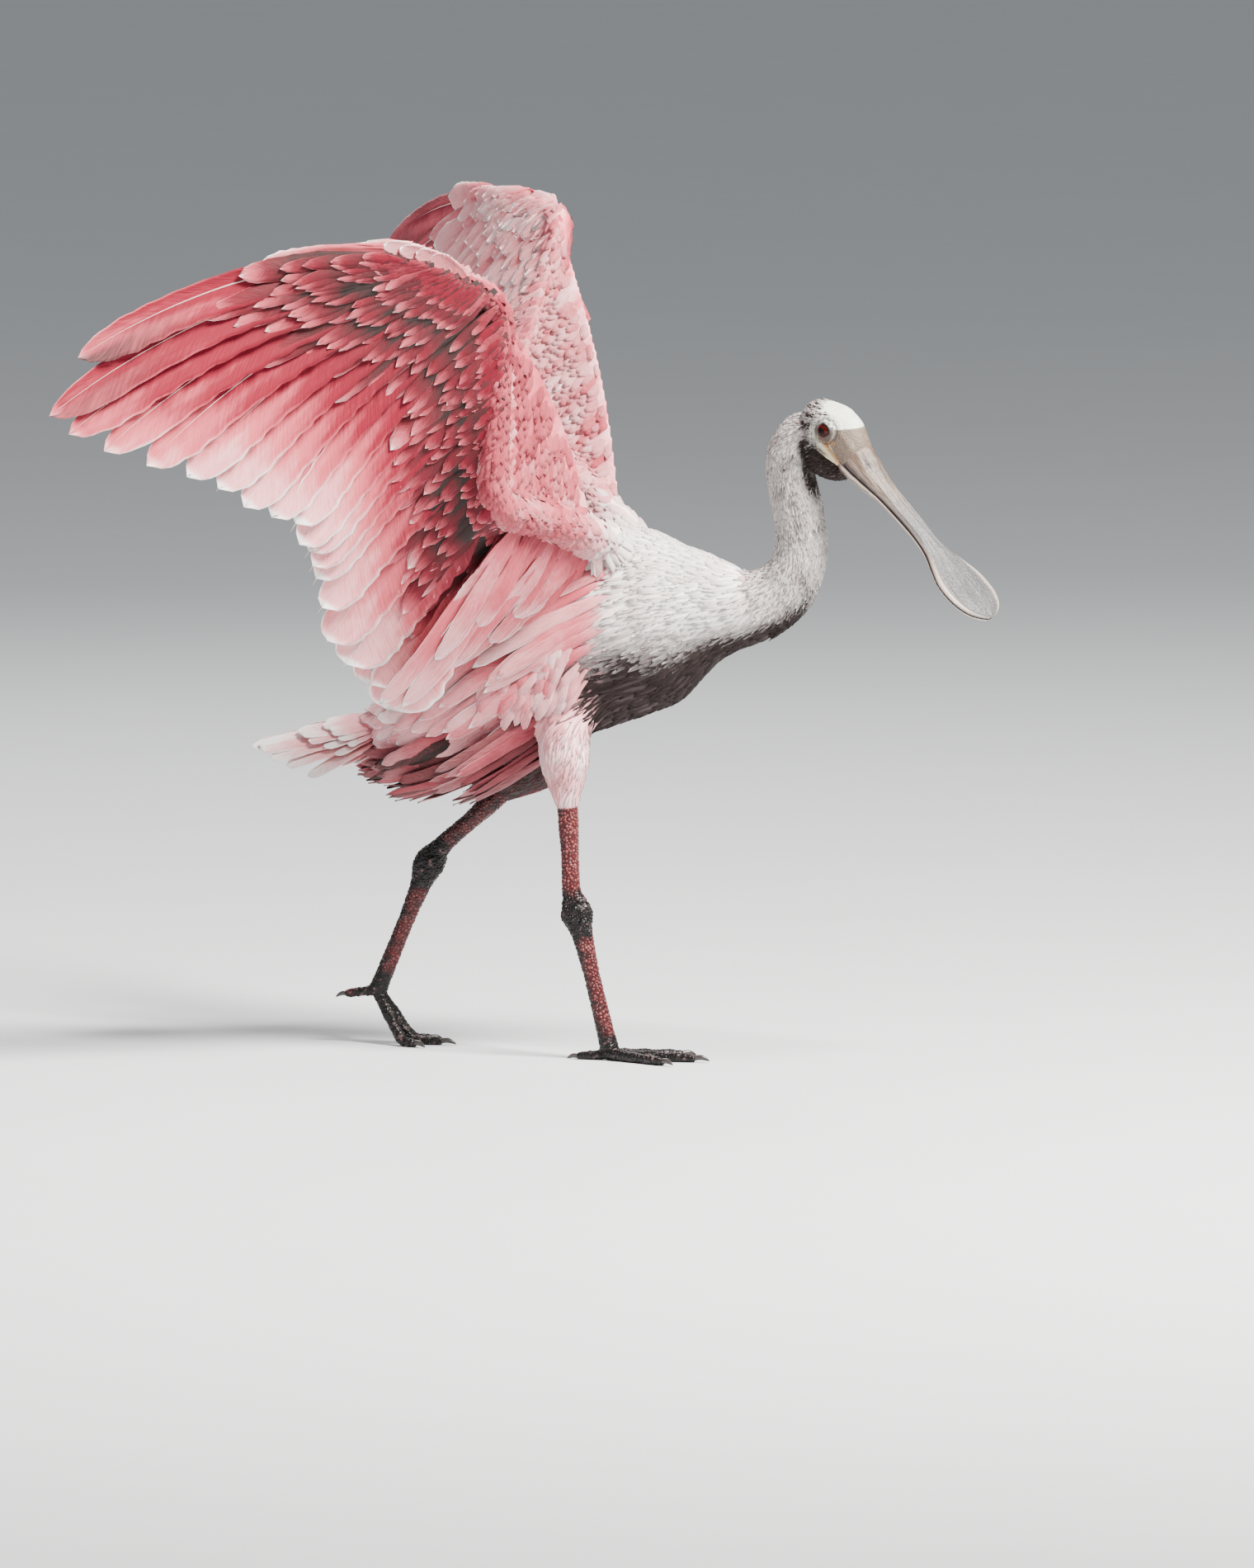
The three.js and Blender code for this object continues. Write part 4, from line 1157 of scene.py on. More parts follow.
def head_skin():
    """The head with its socket, brow, gape, ear and folded throat, and masks for its patches of colour."""
    line = in_head(HEAD_STATIONS[:, 0], np.zeros(len(HEAD_STATIONS)), HEAD_STATIONS[:, 1])
    skull = tube(line, HEAD_STATIONS[:, 2:], across=head_right, facing=head_forward, sides=96, rings=90)
    lids = [lid(side, upper) for side in SIDES.values() for upper in (True, False)]
    head = fused([closed(skull), *lids], "head_hide", HEAD_VOXEL, 2)
    points, normals = mesh_points(head), mesh_normals(head)
    forward, aside, above = ((points - HEAD_CENTRE) @ v for v in (head_forward, head_right, head_up))
    level = above - EYE["above"]
    beside, side_strip, flank = (ease(*span, np.abs(aside)) for span in ((8, 12), (5, 9), (4, 7)))
    wobble = ripple(points, 10, 11)
    ahead_of_eye = forward - EYE["forward"]
    across = np.hypot(ahead_of_eye * np.where(ahead_of_eye > 0, 0.84, 1.05), level * 0.94) + 0.8 * wobble
    gape = above - 1.5 + 0.22 * (forward + 4)
    chin = above + 9.0 - 0.25 * (forward + 20)
    ear = np.hypot(forward + 31, (above + 1.5) / 2.2) - 1.6

    rings = np.sin(across * 2.9 + 0.9 * wobble) * line_mask(across - 10.6, 3.0, beside)
    brow = line_mask(level - 9.5 + 0.15 * (forward + 20), 2.2, ease(-32, -22, forward), beside)
    corner = line_mask(gape, 1.0, ease(-15, -8, forward), beside)
    throat = ease(-1, -8, above) * ease(-26, -8, forward)
    cheek = ease(5, -2, above) * ease(-10, -18, forward) * beside
    shift = -1.0 * line_mask(across - 8.4, 1.3, beside) + 0.24 * rings + 0.6 * brow - 1.3 * corner
    shift += throat * 0.5 * np.sin(aside * 1.9 + 0.25 * forward + 0.6 * wobble)
    shift += cheek * 0.45 * np.sin(forward * 1.6 + 0.9 * above + 1.4 * wobble)
    shift += 0.26 * ripple(points, 6, 13) * ease(14, 4, above) - 0.9 * line_mask(ear, 0.7, beside)
    points = points + normals * shift[:, None]

    lore = ease(-17, -11, forward) * ease(9, 4, above)
    # The rings round the eye in lores, lid and grey lie along the socket's groove: partly the skin's own
    # colour, partly painted shade in the groove.
    masks = {
        "lores": np.maximum(lore, 0.6 * line_mask(across - 9, 2.6, beside, ease(6, -2, level))),
        "lid": ease(7.4, 6.6, across) * flank
        + 0.7 * line_mask(across - 8.2, 0.9, flank, ease(7, 0, level)),
        "tan": ease(-0.7, 0.7, forward + 6.2 - 0.95 * (above - 22.3) + 0.4 * wobble)
        * ease(-14.5, -13, forward) * ease(2, 6, above + 0.5 * (forward + 6))
        * ease(6.4, 7.6, across),
        "ochre": line_mask(np.hypot(forward + 8.6, (level + 2.5) * 1.1), 2.4, side_strip)
        + line_mask(gape + 1.3, 1.5, ease(-22, -15, forward), side_strip),
        "grey": ease(15, 8, above + 0.35 * (forward + 30)) * ease(-22, -27, forward)
        + ease(1, -4, above) * ease(-12, -17, forward)
        + 0.75 * line_mask(across - 8.8, 1.3, flank, ease(-6, 4, level))
        + 0.8 * ease(-18, -22, forward) * ease(19, 14, above) * ease(0.1, 0.5, wobble),
        "yellow": ease(-3, -7, above) * ease(-15, -7, forward),
        "black": ease(-9, -11.5, above) * ease(12, 4, forward)
        + line_mask(chin, 2.8, ease(-2, -10, forward))
        + 0.9 * line_mask(ear, 0.9, beside, ease(-2, 2, level + 12)),
        "red": line_mask(across - 7.6, 0.5, beside, ease(1, -2, level))
        + 0.8 * line_mask(gape, 0.7, ease(-14, -8, forward), beside)
        + 0.8 * line_mask(across - 4.9, 0.5, beside),
    }
    slope = 0.9 * np.minimum(above - 4, 0) - 0.35 * np.maximum(above - 4, 0)
    spin = np.arctan2(above, aside) / (2 * np.pi) + 0.5
    nape = ease(-27, -30, forward + 2.5 * wobble + slope)
    values = {key: np.clip(value, 0, 1) for key, value in masks.items()}
    values |= {
        "cover": np.clip(nape * ease(19, 14, above - 0.2 * (forward + 30)), 0, 1),
        "lie": -head_forward + head_up * -0.55,
        "size": mix(0.6, 1.0, ease(-24, -38, forward)),
        "tint": 0.02 + 0.03 * wobble,
        "soot": np.clip(0.30 + 0.70 * ease(0.0, 0.5, ripple(points, 7, 8)), 0, 1),
        "cling": np.full(len(points), 0.9),
        "chart": np.column_stack([spin * 0.96 + 0.02, (forward + 50) / 66]),
    }
    return finish_skin(head, points, normals, values, "head_hide")


def eye_ball(name, side):
    """A ball with a bulging front: ring is 1 at the iris's rim and turn runs round it."""
    polar = np.linspace(0.002, np.pi - 0.002, 40)[:, None]
    spin = np.linspace(0, 2 * np.pi, 64, endpoint=False)[None]
    polar, spin = np.broadcast_arrays(polar, spin)
    radius = EYE["radius"] * (1 + 0.07 * ease(0.85, 0.2, polar))
    points = in_head(
        EYE["forward"] + np.sin(polar) * np.cos(spin) * radius,
        -side * (EYE["aside"] + np.cos(polar) * radius),
        EYE["above"] + np.sin(polar) * np.sin(spin) * radius)
    ring = np.sin(np.minimum(polar, np.pi / 2)) / math.sin(IRIS_ANGLE)
    batch = Batch()
    batch.add(
        *closed(points), ring=np.append(np.clip(ring, 0, 2).ravel(), [0, 2]),
        turn=np.append((spin / (2 * np.pi)).ravel(), [0, 0]))
    return batch.build(name, "eye_glass")


def bill_half(name, upper):
    """One half of the bill, ridged along its length, with its flat side at the mouth."""
    count = 32
    stations = spline(BILL_STATIONS, np.linspace(0, 1, 190))
    forward, height, half, rise, drop = (v[:, None] for v in stations.T)
    angle = np.linspace(0, np.pi, count)
    x = np.concatenate([np.cos(angle), np.linspace(-1, 1, count + 2)[1:-1]])[None]
    y = np.concatenate([np.sin(angle) ** 0.8, np.zeros(count)])[None]
    outside = y > 0
    sunk = mix(0.88, 1.0, ease(0, 18, forward))
    tall = (rise if upper else -drop) * sunk
    spoon = ease(95, 130, forward)
    ridges = 0.45 * np.sin(x * 11 + 2 * np.sin(forward / 14)) * (1 - 0.6 * spoon)
    steps = 0.45 * np.sin(forward / 1.6 + np.abs(x) * 2) * ease(75, 20, forward)
    rim = 0.9 * spoon * np.exp(-((np.abs(x) - 0.9) / 0.07) ** 2)
    pits = 0.3 * spoon * np.sin(forward * 2.3 + 4 * np.sin(x * 17)) * np.sin(x * 31 + forward)
    groove = -0.9 * np.exp(-((np.abs(x) - 0.62) / 0.06) ** 2) * (1 - spoon) * upper
    lift = (y * tall + np.sign(tall) * (ridges * 0.5 + steps * 0.5 + rim + pits * 0.5 + groove)) * outside
    aside = x * half * sunk * (1.0 if upper else 0.97)
    along = forward + 0 * x
    slit = np.hypot((along - 21) / 5.0, (np.abs(aside) - 6.8 - 0.08 * (along - 21)) / 1.1)
    hollow = np.exp(-slit ** 2) * (y > 0.2) * upper
    gap = 0.0 if upper else -BILL_GAP
    points = in_head(along, aside, height + lift + gap - 1.6 * hollow)
    to_edge = 1 - np.abs(x)
    lip = np.exp(-(to_edge / 0.045) ** 2) * outside * ease(4, 12, forward)
    edge = 0.85 * np.exp(-(to_edge / 0.02) ** 2) * upper
    values = {
        # Painted shade in the nostril's hollow, on the flat faces at the mouth and along the upper half's edge.
        "dark": np.clip(hollow * 1.3 + 0.9 * (~outside) + edge, 0, 1),
        "pale": np.clip(lip * (0.35 if upper else 0.95) * (1 - 0.4 * spoon) + 0.5 * rim, 0, 1),
        "tan": ease(34, 8, along) * ease(0.1, 0.7, y) * (0.85 if upper else 0.3),
    }
    values = {key: np.append(value.ravel(), [0, 0]) for key, value in values.items()}
    horn = np.stack([along / 170, (x + 1) / 2 + 0 * along], -1).reshape(-1, 2)
    batch = Batch()
    batch.add(*closed(points), horn=np.vstack([horn, horn[0], horn[-1]]), **values)
    return batch.build(name, "bill_horn")


class SPOONBILL_OT_head(bpy.types.Operator):
    """Make the bare skin of the head with its lids and folds"""

    bl_idname = "spoonbill.head"
    bl_label = "Head"

    def execute(self, context):
        keep(head_skin(), "bare_skin", "head")
        return {"FINISHED"}


class SPOONBILL_OT_eyes(bpy.types.Operator):
    """Make the two red eyes"""

    bl_idname = "spoonbill.eyes"
    bl_label = "Eyes"

    def execute(self, context):
        for name, side in SIDES.items():
            keep(eye_ball(f"eye_ball_{name}", side), "eye", f"eye_{name}")
        return {"FINISHED"}


class SPOONBILL_OT_bill(bpy.types.Operator):
    """Make the two halves of the bill"""

    bl_idname = "spoonbill.bill"
    bl_label = "Bill"

    def execute(self, context):
        for half in ("upper", "lower"):
            keep(bill_half(f"bill_horn_{half}", half == "upper"), "bill", f"bill_{half}")
        return {"FINISHED"}


# Legs and feet

def leg_tube(leg):
    """Middle line and girth of the bare leg, from inside the thigh to the root of the toes."""
    cuff, shin, ankle, toes = spots(leg, "cuff", "shin", "ankle", "toes")
    line = [mix(cuff, shin, share) for share in (-0.3, 0.15, 0.6, 1)]
    line += [mix(ankle, toes, share) for share in (0, 0.16, 0.5, 0.86, 1)]
    return np.array(line), np.column_stack([LEG_WIDTHS, LEG_DEPTHS, LEG_DEPTHS])


def toe_line(root, ahead, length, bent):
    level = TOE["tip"] - 0.2
    if bent:
        run = TOE_BEND["length"] * math.cos(TOE_BEND["slope"])
        places = ((0.5 * run, root[2] * 0.52), (run, level + 1), (run + length - TOE_BEND["length"], level))
    else:
        places = ((0.35 * length, level + 1), (length, level))
    return np.array([root, *([*(root + ahead * share)[:2], height] for share, height in places)])


def foot_lines(name):
    """The middle line of each toe, with its sizes."""
    bent = name == "left"
    root, = spots(LEGS[name], "toes")
    if not bent:
        root[2] = TOE["root"] - 0.3
    for turn in (-1, 0, 1):
        ahead = np.array([math.cos(turn * TOE["splay"]), math.sin(turn * TOE["splay"]), 0])
        yield toe_line(root, ahead, TOE["length"] * (1 if turn == 0 else TOE["side"]), bent), TOE
    if bent:
        yield np.array([root, root - FORWARD * 12 - [0, 0, 1], root - FORWARD * 24 - [0, 0, 3]]), HIND_TOE
    else:
        end = root - FORWARD * HIND_TOE["length"]
        end[2] = HIND_TOE["tip"] - 0.2
        yield np.array([root, end]), HIND_TOE


def toe_shape(line, size):
    """A toe with a swelling at each joint and scutes across its top."""
    t = np.linspace(0, 1, 90)
    joints = 0.6 * np.exp(-((t[:, None] - TOE_JOINTS) / 0.05) ** 2).sum(1)
    radii = mix(size["root"], size["tip"], t) + joints + 0.2 * np.abs(np.sin(t * 60))
    middle = spline(line, t)[:, None]
    round_it = tube(line, [1] * len(line), sides=20, rings=len(t)) - middle
    return closed(middle + round_it * radii[:, None, None], FLOOR_GAP)


def web_shape(first, second):
    """The small web between the roots of two toes."""
    t = np.linspace(0, 0.34, 14)
    across = np.linspace(0, 1, 9)[None, :, None]
    sag = 1 - 0.35 * np.sin(np.pi * across) * np.linspace(0, 1, 14)[:, None, None]
    sheet = mix(spline(first, t)[:, None], spline(second, t)[:, None], across)
    sheet = sheet[:1] + (sheet - sheet[:1]) * sag
    return closed(np.concatenate([sheet + [0, 0, 0.7], (sheet - [0, 0, 0.9])[:, ::-1]], axis=1), FLOOR_GAP)


def claw_shape(line, size):
    """A curved claw, which springs from inside the end of its toe."""
    ahead = unit(line[-1] - line[-2])
    reach, thick = size["claw"], size["tip"]
    steps = ((-2, 0), (reach * 0.4, 0.9), (reach * 0.8, -0.2), (reach, -1.4))
    path = np.array([line[-1] + ahead * along + [0, 0, rise] for along, rise in steps])
    path[:, 2] = np.maximum(path[:, 2], 0.7)
    girth = np.outer([thick * 0.62, thick * 0.6, thick * 0.36, 0.2], [1, 1.2, 1])
    return closed(tube(path, girth, sides=14, rings=24), FLOOR_GAP)


def bare_leg(name):
    """The bare skin of one leg and its foot, with a value for its black joints and toes and for painted shade
    on the legs.
    """
    leg = LEGS[name]
    line, girth = leg_tube(leg)
    toes = list(foot_lines(name))
    shapes = [closed(tube(line, girth, sides=40, rings=170)), *(toe_shape(*toe) for toe in toes)]
    shapes += [web_shape(toes[k][0], toes[k + 1][0]) for k in (0, 1)]
    piece = fused(shapes, f"leg_hide_{name}", LEG_VOXEL, 2)
    points, normals = mesh_points(piece), mesh_normals(piece)
    ankle, root, cuff = spots(leg, "ankle", "toes", "cuff")
    near_ankle = np.exp(-(np.linalg.norm(points - ankle, axis=1) / 18) ** 4)
    knobs = near_ankle * (1.5 * np.maximum(ripple(points, 13, 23), 0) + 0.5 * ripple(points, 5, 24))
    points = points + normals * (knobs + 0.18 * ripple(points, 6, 25))[:, None]
    points[:, 2] = np.maximum(points[:, 2], 0.0)
    lifted = name == "left"
    from_root = np.linalg.norm(points - root, axis=1)
    low = ease(38, 30, points[:, 2]) if lifted else ease(24, 8, points[:, 2])
    foot = np.maximum(ease(22, 9, from_root), low) if lifted else low
    mottle = 0.25 * ease(-0.1, 0.6, ripple(points, 13, 21))
    # Painted shade on the back of each leg and on the far leg's shin, which the body shades; the leg is also
    # darker below the ankle.
    shade = 0.30 * ease(0.2, -0.7, normals[:, 0])
    shade += 0.30 * ease(ankle[2] + 10, ankle[2] - 10, points[:, 2])
    shade += 0.42 * lifted * ease(ankle[2] - 5, ankle[2] + 15, points[:, 2])
    along = nearest(points, line)[1]
    away = points - spline(line, along)
    spin = np.arctan2(away[:, 1], away[:, 0]) / (2 * np.pi)
    values = {
        "dark": np.clip(near_ankle + foot + mottle + shade, 0, 1),
        "lie": heading(line, along, 0.02),
        "size": mix(1.0, 0.75, foot),
        "cover": (np.linalg.norm(points - cuff, axis=1) > 6).astype(float),
        "cling": np.ones(len(points)),
        "chart": np.column_stack([spin * 0.96 + 0.5, along * 0.96 + 0.02]),
    }
    return finish_skin(piece, points, normals, values, "leg_hide")


class SPOONBILL_OT_legs(bpy.types.Operator):
    """Make the bare legs, toes and claws with their scales"""

    bl_idname = "spoonbill.legs"
    bl_label = "Legs"

    def execute(self, context):
        for k, name in enumerate(SIDES):
            piece = bare_leg(name)
            scales = coat(piece, f"leg_scales_{name}", "scale", SCALE_GAP, SCALE_SIZE, 60 + k, "leg_scales")
            keep(piece, "leg_skin", f"shank_{name}", f"tarsus_{name}", f"foot_{name}")
            keep(scales, "leg_skin")
            claws = Batch(claw_shape(*toe) for toe in foot_lines(name))
            keep(claws.build(f"claws_{name}", "claw_horn"), "foot_skin")
        return {"FINISHED"}


# Feathers one by one

def draws(number):
    """Random draws of their own for each kind of feather."""
    return np.random.default_rng(sizes().seed + number)


def rolled(ahead, outward, side, roll):
    """Directions of a vane: towards its leading edge and out of its upper face, turned by the roll."""
    along = unit(ahead)
    lead = flat_on(outward, along)
    face = np.cross(along, lead) * -side
    return lead * math.cos(roll) + face * math.sin(roll), face * math.cos(roll) - lead * math.sin(roll)


class Shaft:
    """A feather's line and its directions along it."""

    def __init__(self, root, tip, lead, face, bow=0.0, sweep=0.0):
        self.root, self.tip, self.lead, self.face = root, tip, lead, face
        self.bow, self.sweep = bow, sweep
        self.length = np.linalg.norm(tip - root)

    def at(self, share):
        share = np.atleast_1d(share)[:, None]
        arch = 4 * share * (1 - share) * self.length
        return mix(self.root, self.tip, share) + arch * (self.face * self.bow + self.lead * self.sweep)

    def frame(self, share):
        ones = np.ones((len(share), 1))
        return self.lead * ones, self.face * ones


class FlightShaft(Shaft):
    """One of the row of flight feathers: its directions follow the surface of the whole row."""

    def __init__(self, name, feather):
        self.name, self.side = name, SIDES[name]
        self.outer = max(feather - FRAME_REACH, 0)
        self.inner = min(feather + FRAME_REACH, FLIGHT_FEATHERS - 1)
        root, tip = root_at(name, feather), tip_at(name, feather)
        middles = [(root_at(name, i) + tip_at(name, i)) / 2 for i in (self.outer, self.inner)]
        inwards = min(feather / PRIMARIES, 1)
        directions = rolled(tip - root, middles[0] - middles[1], self.side, 0)
        super().__init__(root, tip, *directions, mix(*BOW, inwards), mix(*SWEEP, inwards))

    def frame(self, share):
        outer, inner = (flight_shaft(self.name, i).at(share) for i in (self.outer, self.inner))
        return rolled(self.at(share + 0.01) - self.at(share - 0.01), outer - inner, self.side, VANE_ROLL)


class BetweenShaft(Shaft):
    """The shaft half way between two flight feathers."""

    def __init__(self, first, second):
        super().__init__((first.root + second.root) / 2, (first.tip + second.tip) / 2, first.lead, first.face)
        self.pair = first, second

    def at(self, share):
        return sum(shaft.at(share) for shaft in self.pair) / 2

    def frame(self, share):
        leads, faces = zip(*(shaft.frame(share) for shaft in self.pair))
        return unit(sum(leads)), unit(sum(faces))


class BodyShaft(Shaft):
    """A shaft that lies along the body's outline, from one share and turn to another."""

    def __init__(self, start, end, lifts):
        self.start, self.end, self.lifts = start, end, lifts
        super().__init__(*self.at(np.array([0.0, 1.0])), RIGHT, UP)

    def surface(self, share, lifted=True):
        share = np.clip(share, 0, 1)
        along, turn = (mix(self.start[k], self.end[k], share) for k in (0, 1))
        return body_surface(along, turn, mix(*self.lifts, share) if lifted else 0.0)

    def at(self, share):
        return self.surface(share)[0]

    def frame(self, share):
        ahead = unit(self.at(share + 0.02) - self.at(share - 0.02))
        face = flat_on(self.surface(share, False)[1], ahead)
        return np.cross(face, ahead), face


def tip_at(name, feather):
    tips = WINGS[name]["tips"]
    places = list(tips)
    span = 0
    while span < len(places) - 2 and feather > places[span + 1]:
        span += 1
    share = (feather - places[span]) / (places[span + 1] - places[span])
    return spline(list(tips.values()), (span + share) / (len(places) - 1))[0]


def root_at(name, feather):
    shoulder, elbow, wrist, finger = spots(WINGS[name], "shoulder", "elbow", "wrist", "finger")
    if feather < PRIMARIES:
        return mix(finger, wrist, HAND_SPAN * feather / (PRIMARIES - 1))
    secondary = feather - PRIMARIES
    if secondary < SECONDARIES:
        return mix(wrist, elbow, mix(*FOREARM_SPAN, secondary / (SECONDARIES - 1)))
    return mix(elbow, shoulder, INNER_STEP * (secondary - SECONDARIES))


@functools.lru_cache(maxsize=None)
def flight_shaft(name, feather):
    """A flight feather's shaft, or the one half way between two of them."""
    low = math.floor(feather)
    if feather == low:
        return FlightShaft(name, low)
    return BetweenShaft(flight_shaft(name, low), flight_shaft(name, low + 1))


@dataclasses.dataclass
class Vane:
    """The shape of a vane: lengths in millimetres, and shares of its length or its width."""

    width: float
    ahead: float
    grid: tuple
    blunt: float
    start: float = 0.0
    reach: float = 1.0
    lift: float = 0.0
    point: float = 0.9
    foot: float = 0.12
    full: float = 0.34
    splits: int = 0
    camber: float = 0.07
    wave: float = 0.25
    sway: float = 0.0
    seed: int = 0

    def rows_and_cuts(self, length):
        """Shares of the rows, and how far each row is cut in on which side."""
        random = np.random.default_rng(self.seed)
        cuts = random.uniform(0.72, 0.97, self.splits)
        gap = SPLIT_WIDTH / length
        rows = self.grid[0]
        share = np.concatenate([np.linspace(0, 1, rows), cuts, cuts - gap, cuts + gap])
        depth = np.zeros(len(share))
        depth[rows:rows + self.splits] = random.uniform(0.12, 0.34, self.splits)
        side = np.sign(random.uniform(-1, 1, len(share)))
        order = np.argsort(share)
        return np.clip(share[order], 0, 1), depth[order], side[order]

    def profile(self, at):
        """Half width along the vane as a share of the whole."""
        root = self.foot + (1 - self.foot) * ease(0.0, self.full, at)
        over = np.clip((at - (1 - self.blunt)) / self.blunt, 0, 1)
        return root * np.sqrt(np.maximum(1 - over ** 2, 0)) ** self.point


class Feather:
    """A thin closed vane along a shaft, its rows slanting as the barbs do.

    'along' and 'across' say where each point lies on it, and 'under' is 1 on its under face."""

    def __init__(self, shaft, vane):
        length = shaft.length * abs(vane.reach)
        share, depth, cut_side = vane.rows_and_cuts(length)
        s, c = np.meshgrid(share, np.linspace(-1, 1, 2 * vane.grid[1] + 1), indexing="ij")
        off = np.abs(c)
        slant = 0.75 * vane.width / length
        at = np.minimum(s + slant * off * ease(0.0, 0.3, s) * (1 - s) * 1.6, 1)
        profile = vane.profile(at)
        edge = 1 + off * (0.035 * np.sin(at * 70 + vane.seed) + 0.02 * np.sin(at * 190 + vane.seed * 2))
        cut = 1 - depth[:, None] * ease(0.2, 1, off) * (np.sign(c) == cut_side[:, None])
        web = np.where(c < 0, vane.ahead, 1 - vane.ahead) * vane.width * profile * edge * cut
        real = (vane.start + at * (vane.reach - vane.start)).ravel()
        lead, face = shaft.frame(real)
        camber = vane.camber * vane.width * c ** 2 * profile
        wave = vane.wave * np.sin(at * 13 + vane.seed + 2 * c) * off
        aside = (vane.sway * at ** 2 - c * web).ravel()[:, None]
        middle = shaft.at(real) + lead * aside + face * (vane.lift - camber + wave).ravel()[:, None]
        thick = sizes().vane_thickness * 1000
        body = face * (thick * (0.6 + 0.4 * (1 - off))).ravel()[:, None] / 2
        laid = np.column_stack([(c.ravel() + 1) / 2, at.ravel()])
        self.points = np.vstack([middle + body, middle - body])
        self.faces = sheet_faces(*s.shape)
        self.map = np.vstack([laid, laid])
        self.across, self.along = self.map[:, 0] * 2 - 1, self.map[:, 1]
        self.under = np.repeat([0.0, 1.0], s.size)


def quill(shaft):
    """The shaft itself as a thin tapering tube."""
    share = np.linspace(0.08, 0.985, QUILL["rows"])
    lead, face = shaft.frame(share)
    middle = shaft.at(share) + face * QUILL["lift"]
    radius = QUILL["thick"] * (1 - 0.88 * share)[:, None, None] / 2
    angle = np.linspace(0, 2 * np.pi, QUILL["sides"], endpoint=False)[None, :, None]
    return closed(middle[:, None] + (lead[:, None] * np.cos(angle) + face[:, None] * np.sin(angle)) * radius)


# Wings

def flight_feathers(name):
    """Flight feathers of one wing, and their quills as a second piece."""
    vanes, quills = Batch(), Batch()
    random = draws(SIDES[name])
    places = np.linspace(0, 1, len(FLIGHT_WIDTHS))
    for number in [*range(SPARSE_FROM), *range(SPARSE_FROM, FLIGHT_FEATHERS, 2)]:
        shaft = flight_shaft(name, number)
        inward = number / (FLIGHT_FEATHERS - 1)
        outer = ease(PRIMARIES, 0, number)
        feather = Feather(shaft, Vane(
            np.interp(inward, places, FLIGHT_WIDTHS), mix(0.45, 0.34, outer), GRIDS["flight"],
            mix(0.14, 0.20, outer), point=mix(0.9, 1.15, outer),
            reach=1 - 0.05 * random.uniform() * (1 - outer), camber=0.10,
            lift=random.uniform(-0.8, 0.8) * (1 - outer), seed=number + 40 * (name == "left")))
        across, along, under = feather.across, feather.along, feather.under
        trailing = ease(-0.1, 0.5, across)
        # Under faces are deeper in colour: partly their own colour, partly painted shade of the wing's
        # underside.
        deep = mix(1.0, 0.66, inward) * mix(0.62, 1.0, under)
        pale = mix(0.26, 0.62, ease(6.5, 0, number)) + 0.10 * under
        tint = mix(deep, pale, ease(0.38, mix(0.96, 1.0, outer), along)) + random.normal(0, 0.04)
        tint += 0.26 * np.exp(-((across - 0.05) / 0.2) ** 2) * ease(1.0, 0.5, along)
        # Painted shade along the edges, where the neighbouring feathers overlap.
        tint += 0.24 * ease(0.3, 0.95, np.abs(across)) * ease(1.0, 0.6, along)
        tint += 0.16 * outer * (1 - trailing) * ease(0.25, 0.6, along)
        soot = 0.85 * ease(2.2, 0, number) * ease(0.55, 0.95, along) * trailing
        # Painted shade at the bases, stronger on the under faces.
        soot += (0.42 * under + 0.12) * ease(0.62, 0.12, along)
        vanes.add_feather(feather, tint, soot, random.uniform(), least=0.03)
        quills.add(*quill(shaft), tint=mix(0.05, 0.5, outer))
    main = vanes.build(f"flight_feathers_{name}", "feathers")
    return main, quills.build(f"flight_quills_{name}", "feather_shafts")


def covert_feathers(name, upper):
    """Rows of coverts over one face of the wing, each row shorter and farther from the flight feathers."""
    batch = Batch()
    random = draws(10 + SIDES[name])
    for k, tier in enumerate(UPPER_TIERS if upper else UNDER_TIERS):
        grid = GRIDS["large_covert" if k < 2 else "small_covert"]
        step = 1.0 if k == 0 or (k == 1 and upper) else 0.5
        for place in np.arange(0, FLIGHT_FEATHERS - 1 + step / 2, step):
            longer = 1 + 0.35 * ease(14, 23, place) * (k < 3)
            width = tier["width"] * random.uniform(0.85, 1.12)
            start = tier["start"] + random.uniform(-0.012, 0.012)
            reach = tier["reach"] * random.uniform(0.86, 1.12) * longer
            blunt = random.uniform(0.18, 0.34) + 0.2 * (not upper and k > 0)
            feather = Feather(flight_shaft(name, place), Vane(
                width, 0.46, grid, blunt, start, reach, tier["lift"], point=1.0, foot=0.35, full=0.5,
                camber=0.10 * np.sign(tier["lift"]), wave=0.5, sway=random.normal(0, 2.2),
                seed=int(random.integers(10000))))
            near_tip = ease(0.45 if upper else 0.66, 1.0, feather.along)
            tint = mix(tier["root"], tier["tip"], near_tip) + random.normal(0, 0.06)
            # On the under rows this soot is painted shade towards the roots.
            soot = tier["soot"] * ease(1.05, 0.6, feather.along) * random.uniform(0.8, 1.35)
            batch.add_feather(feather, tint, soot, random.uniform())
    return batch.build(f"{'upper' if upper else 'under'}_coverts_{name}", "feathers")


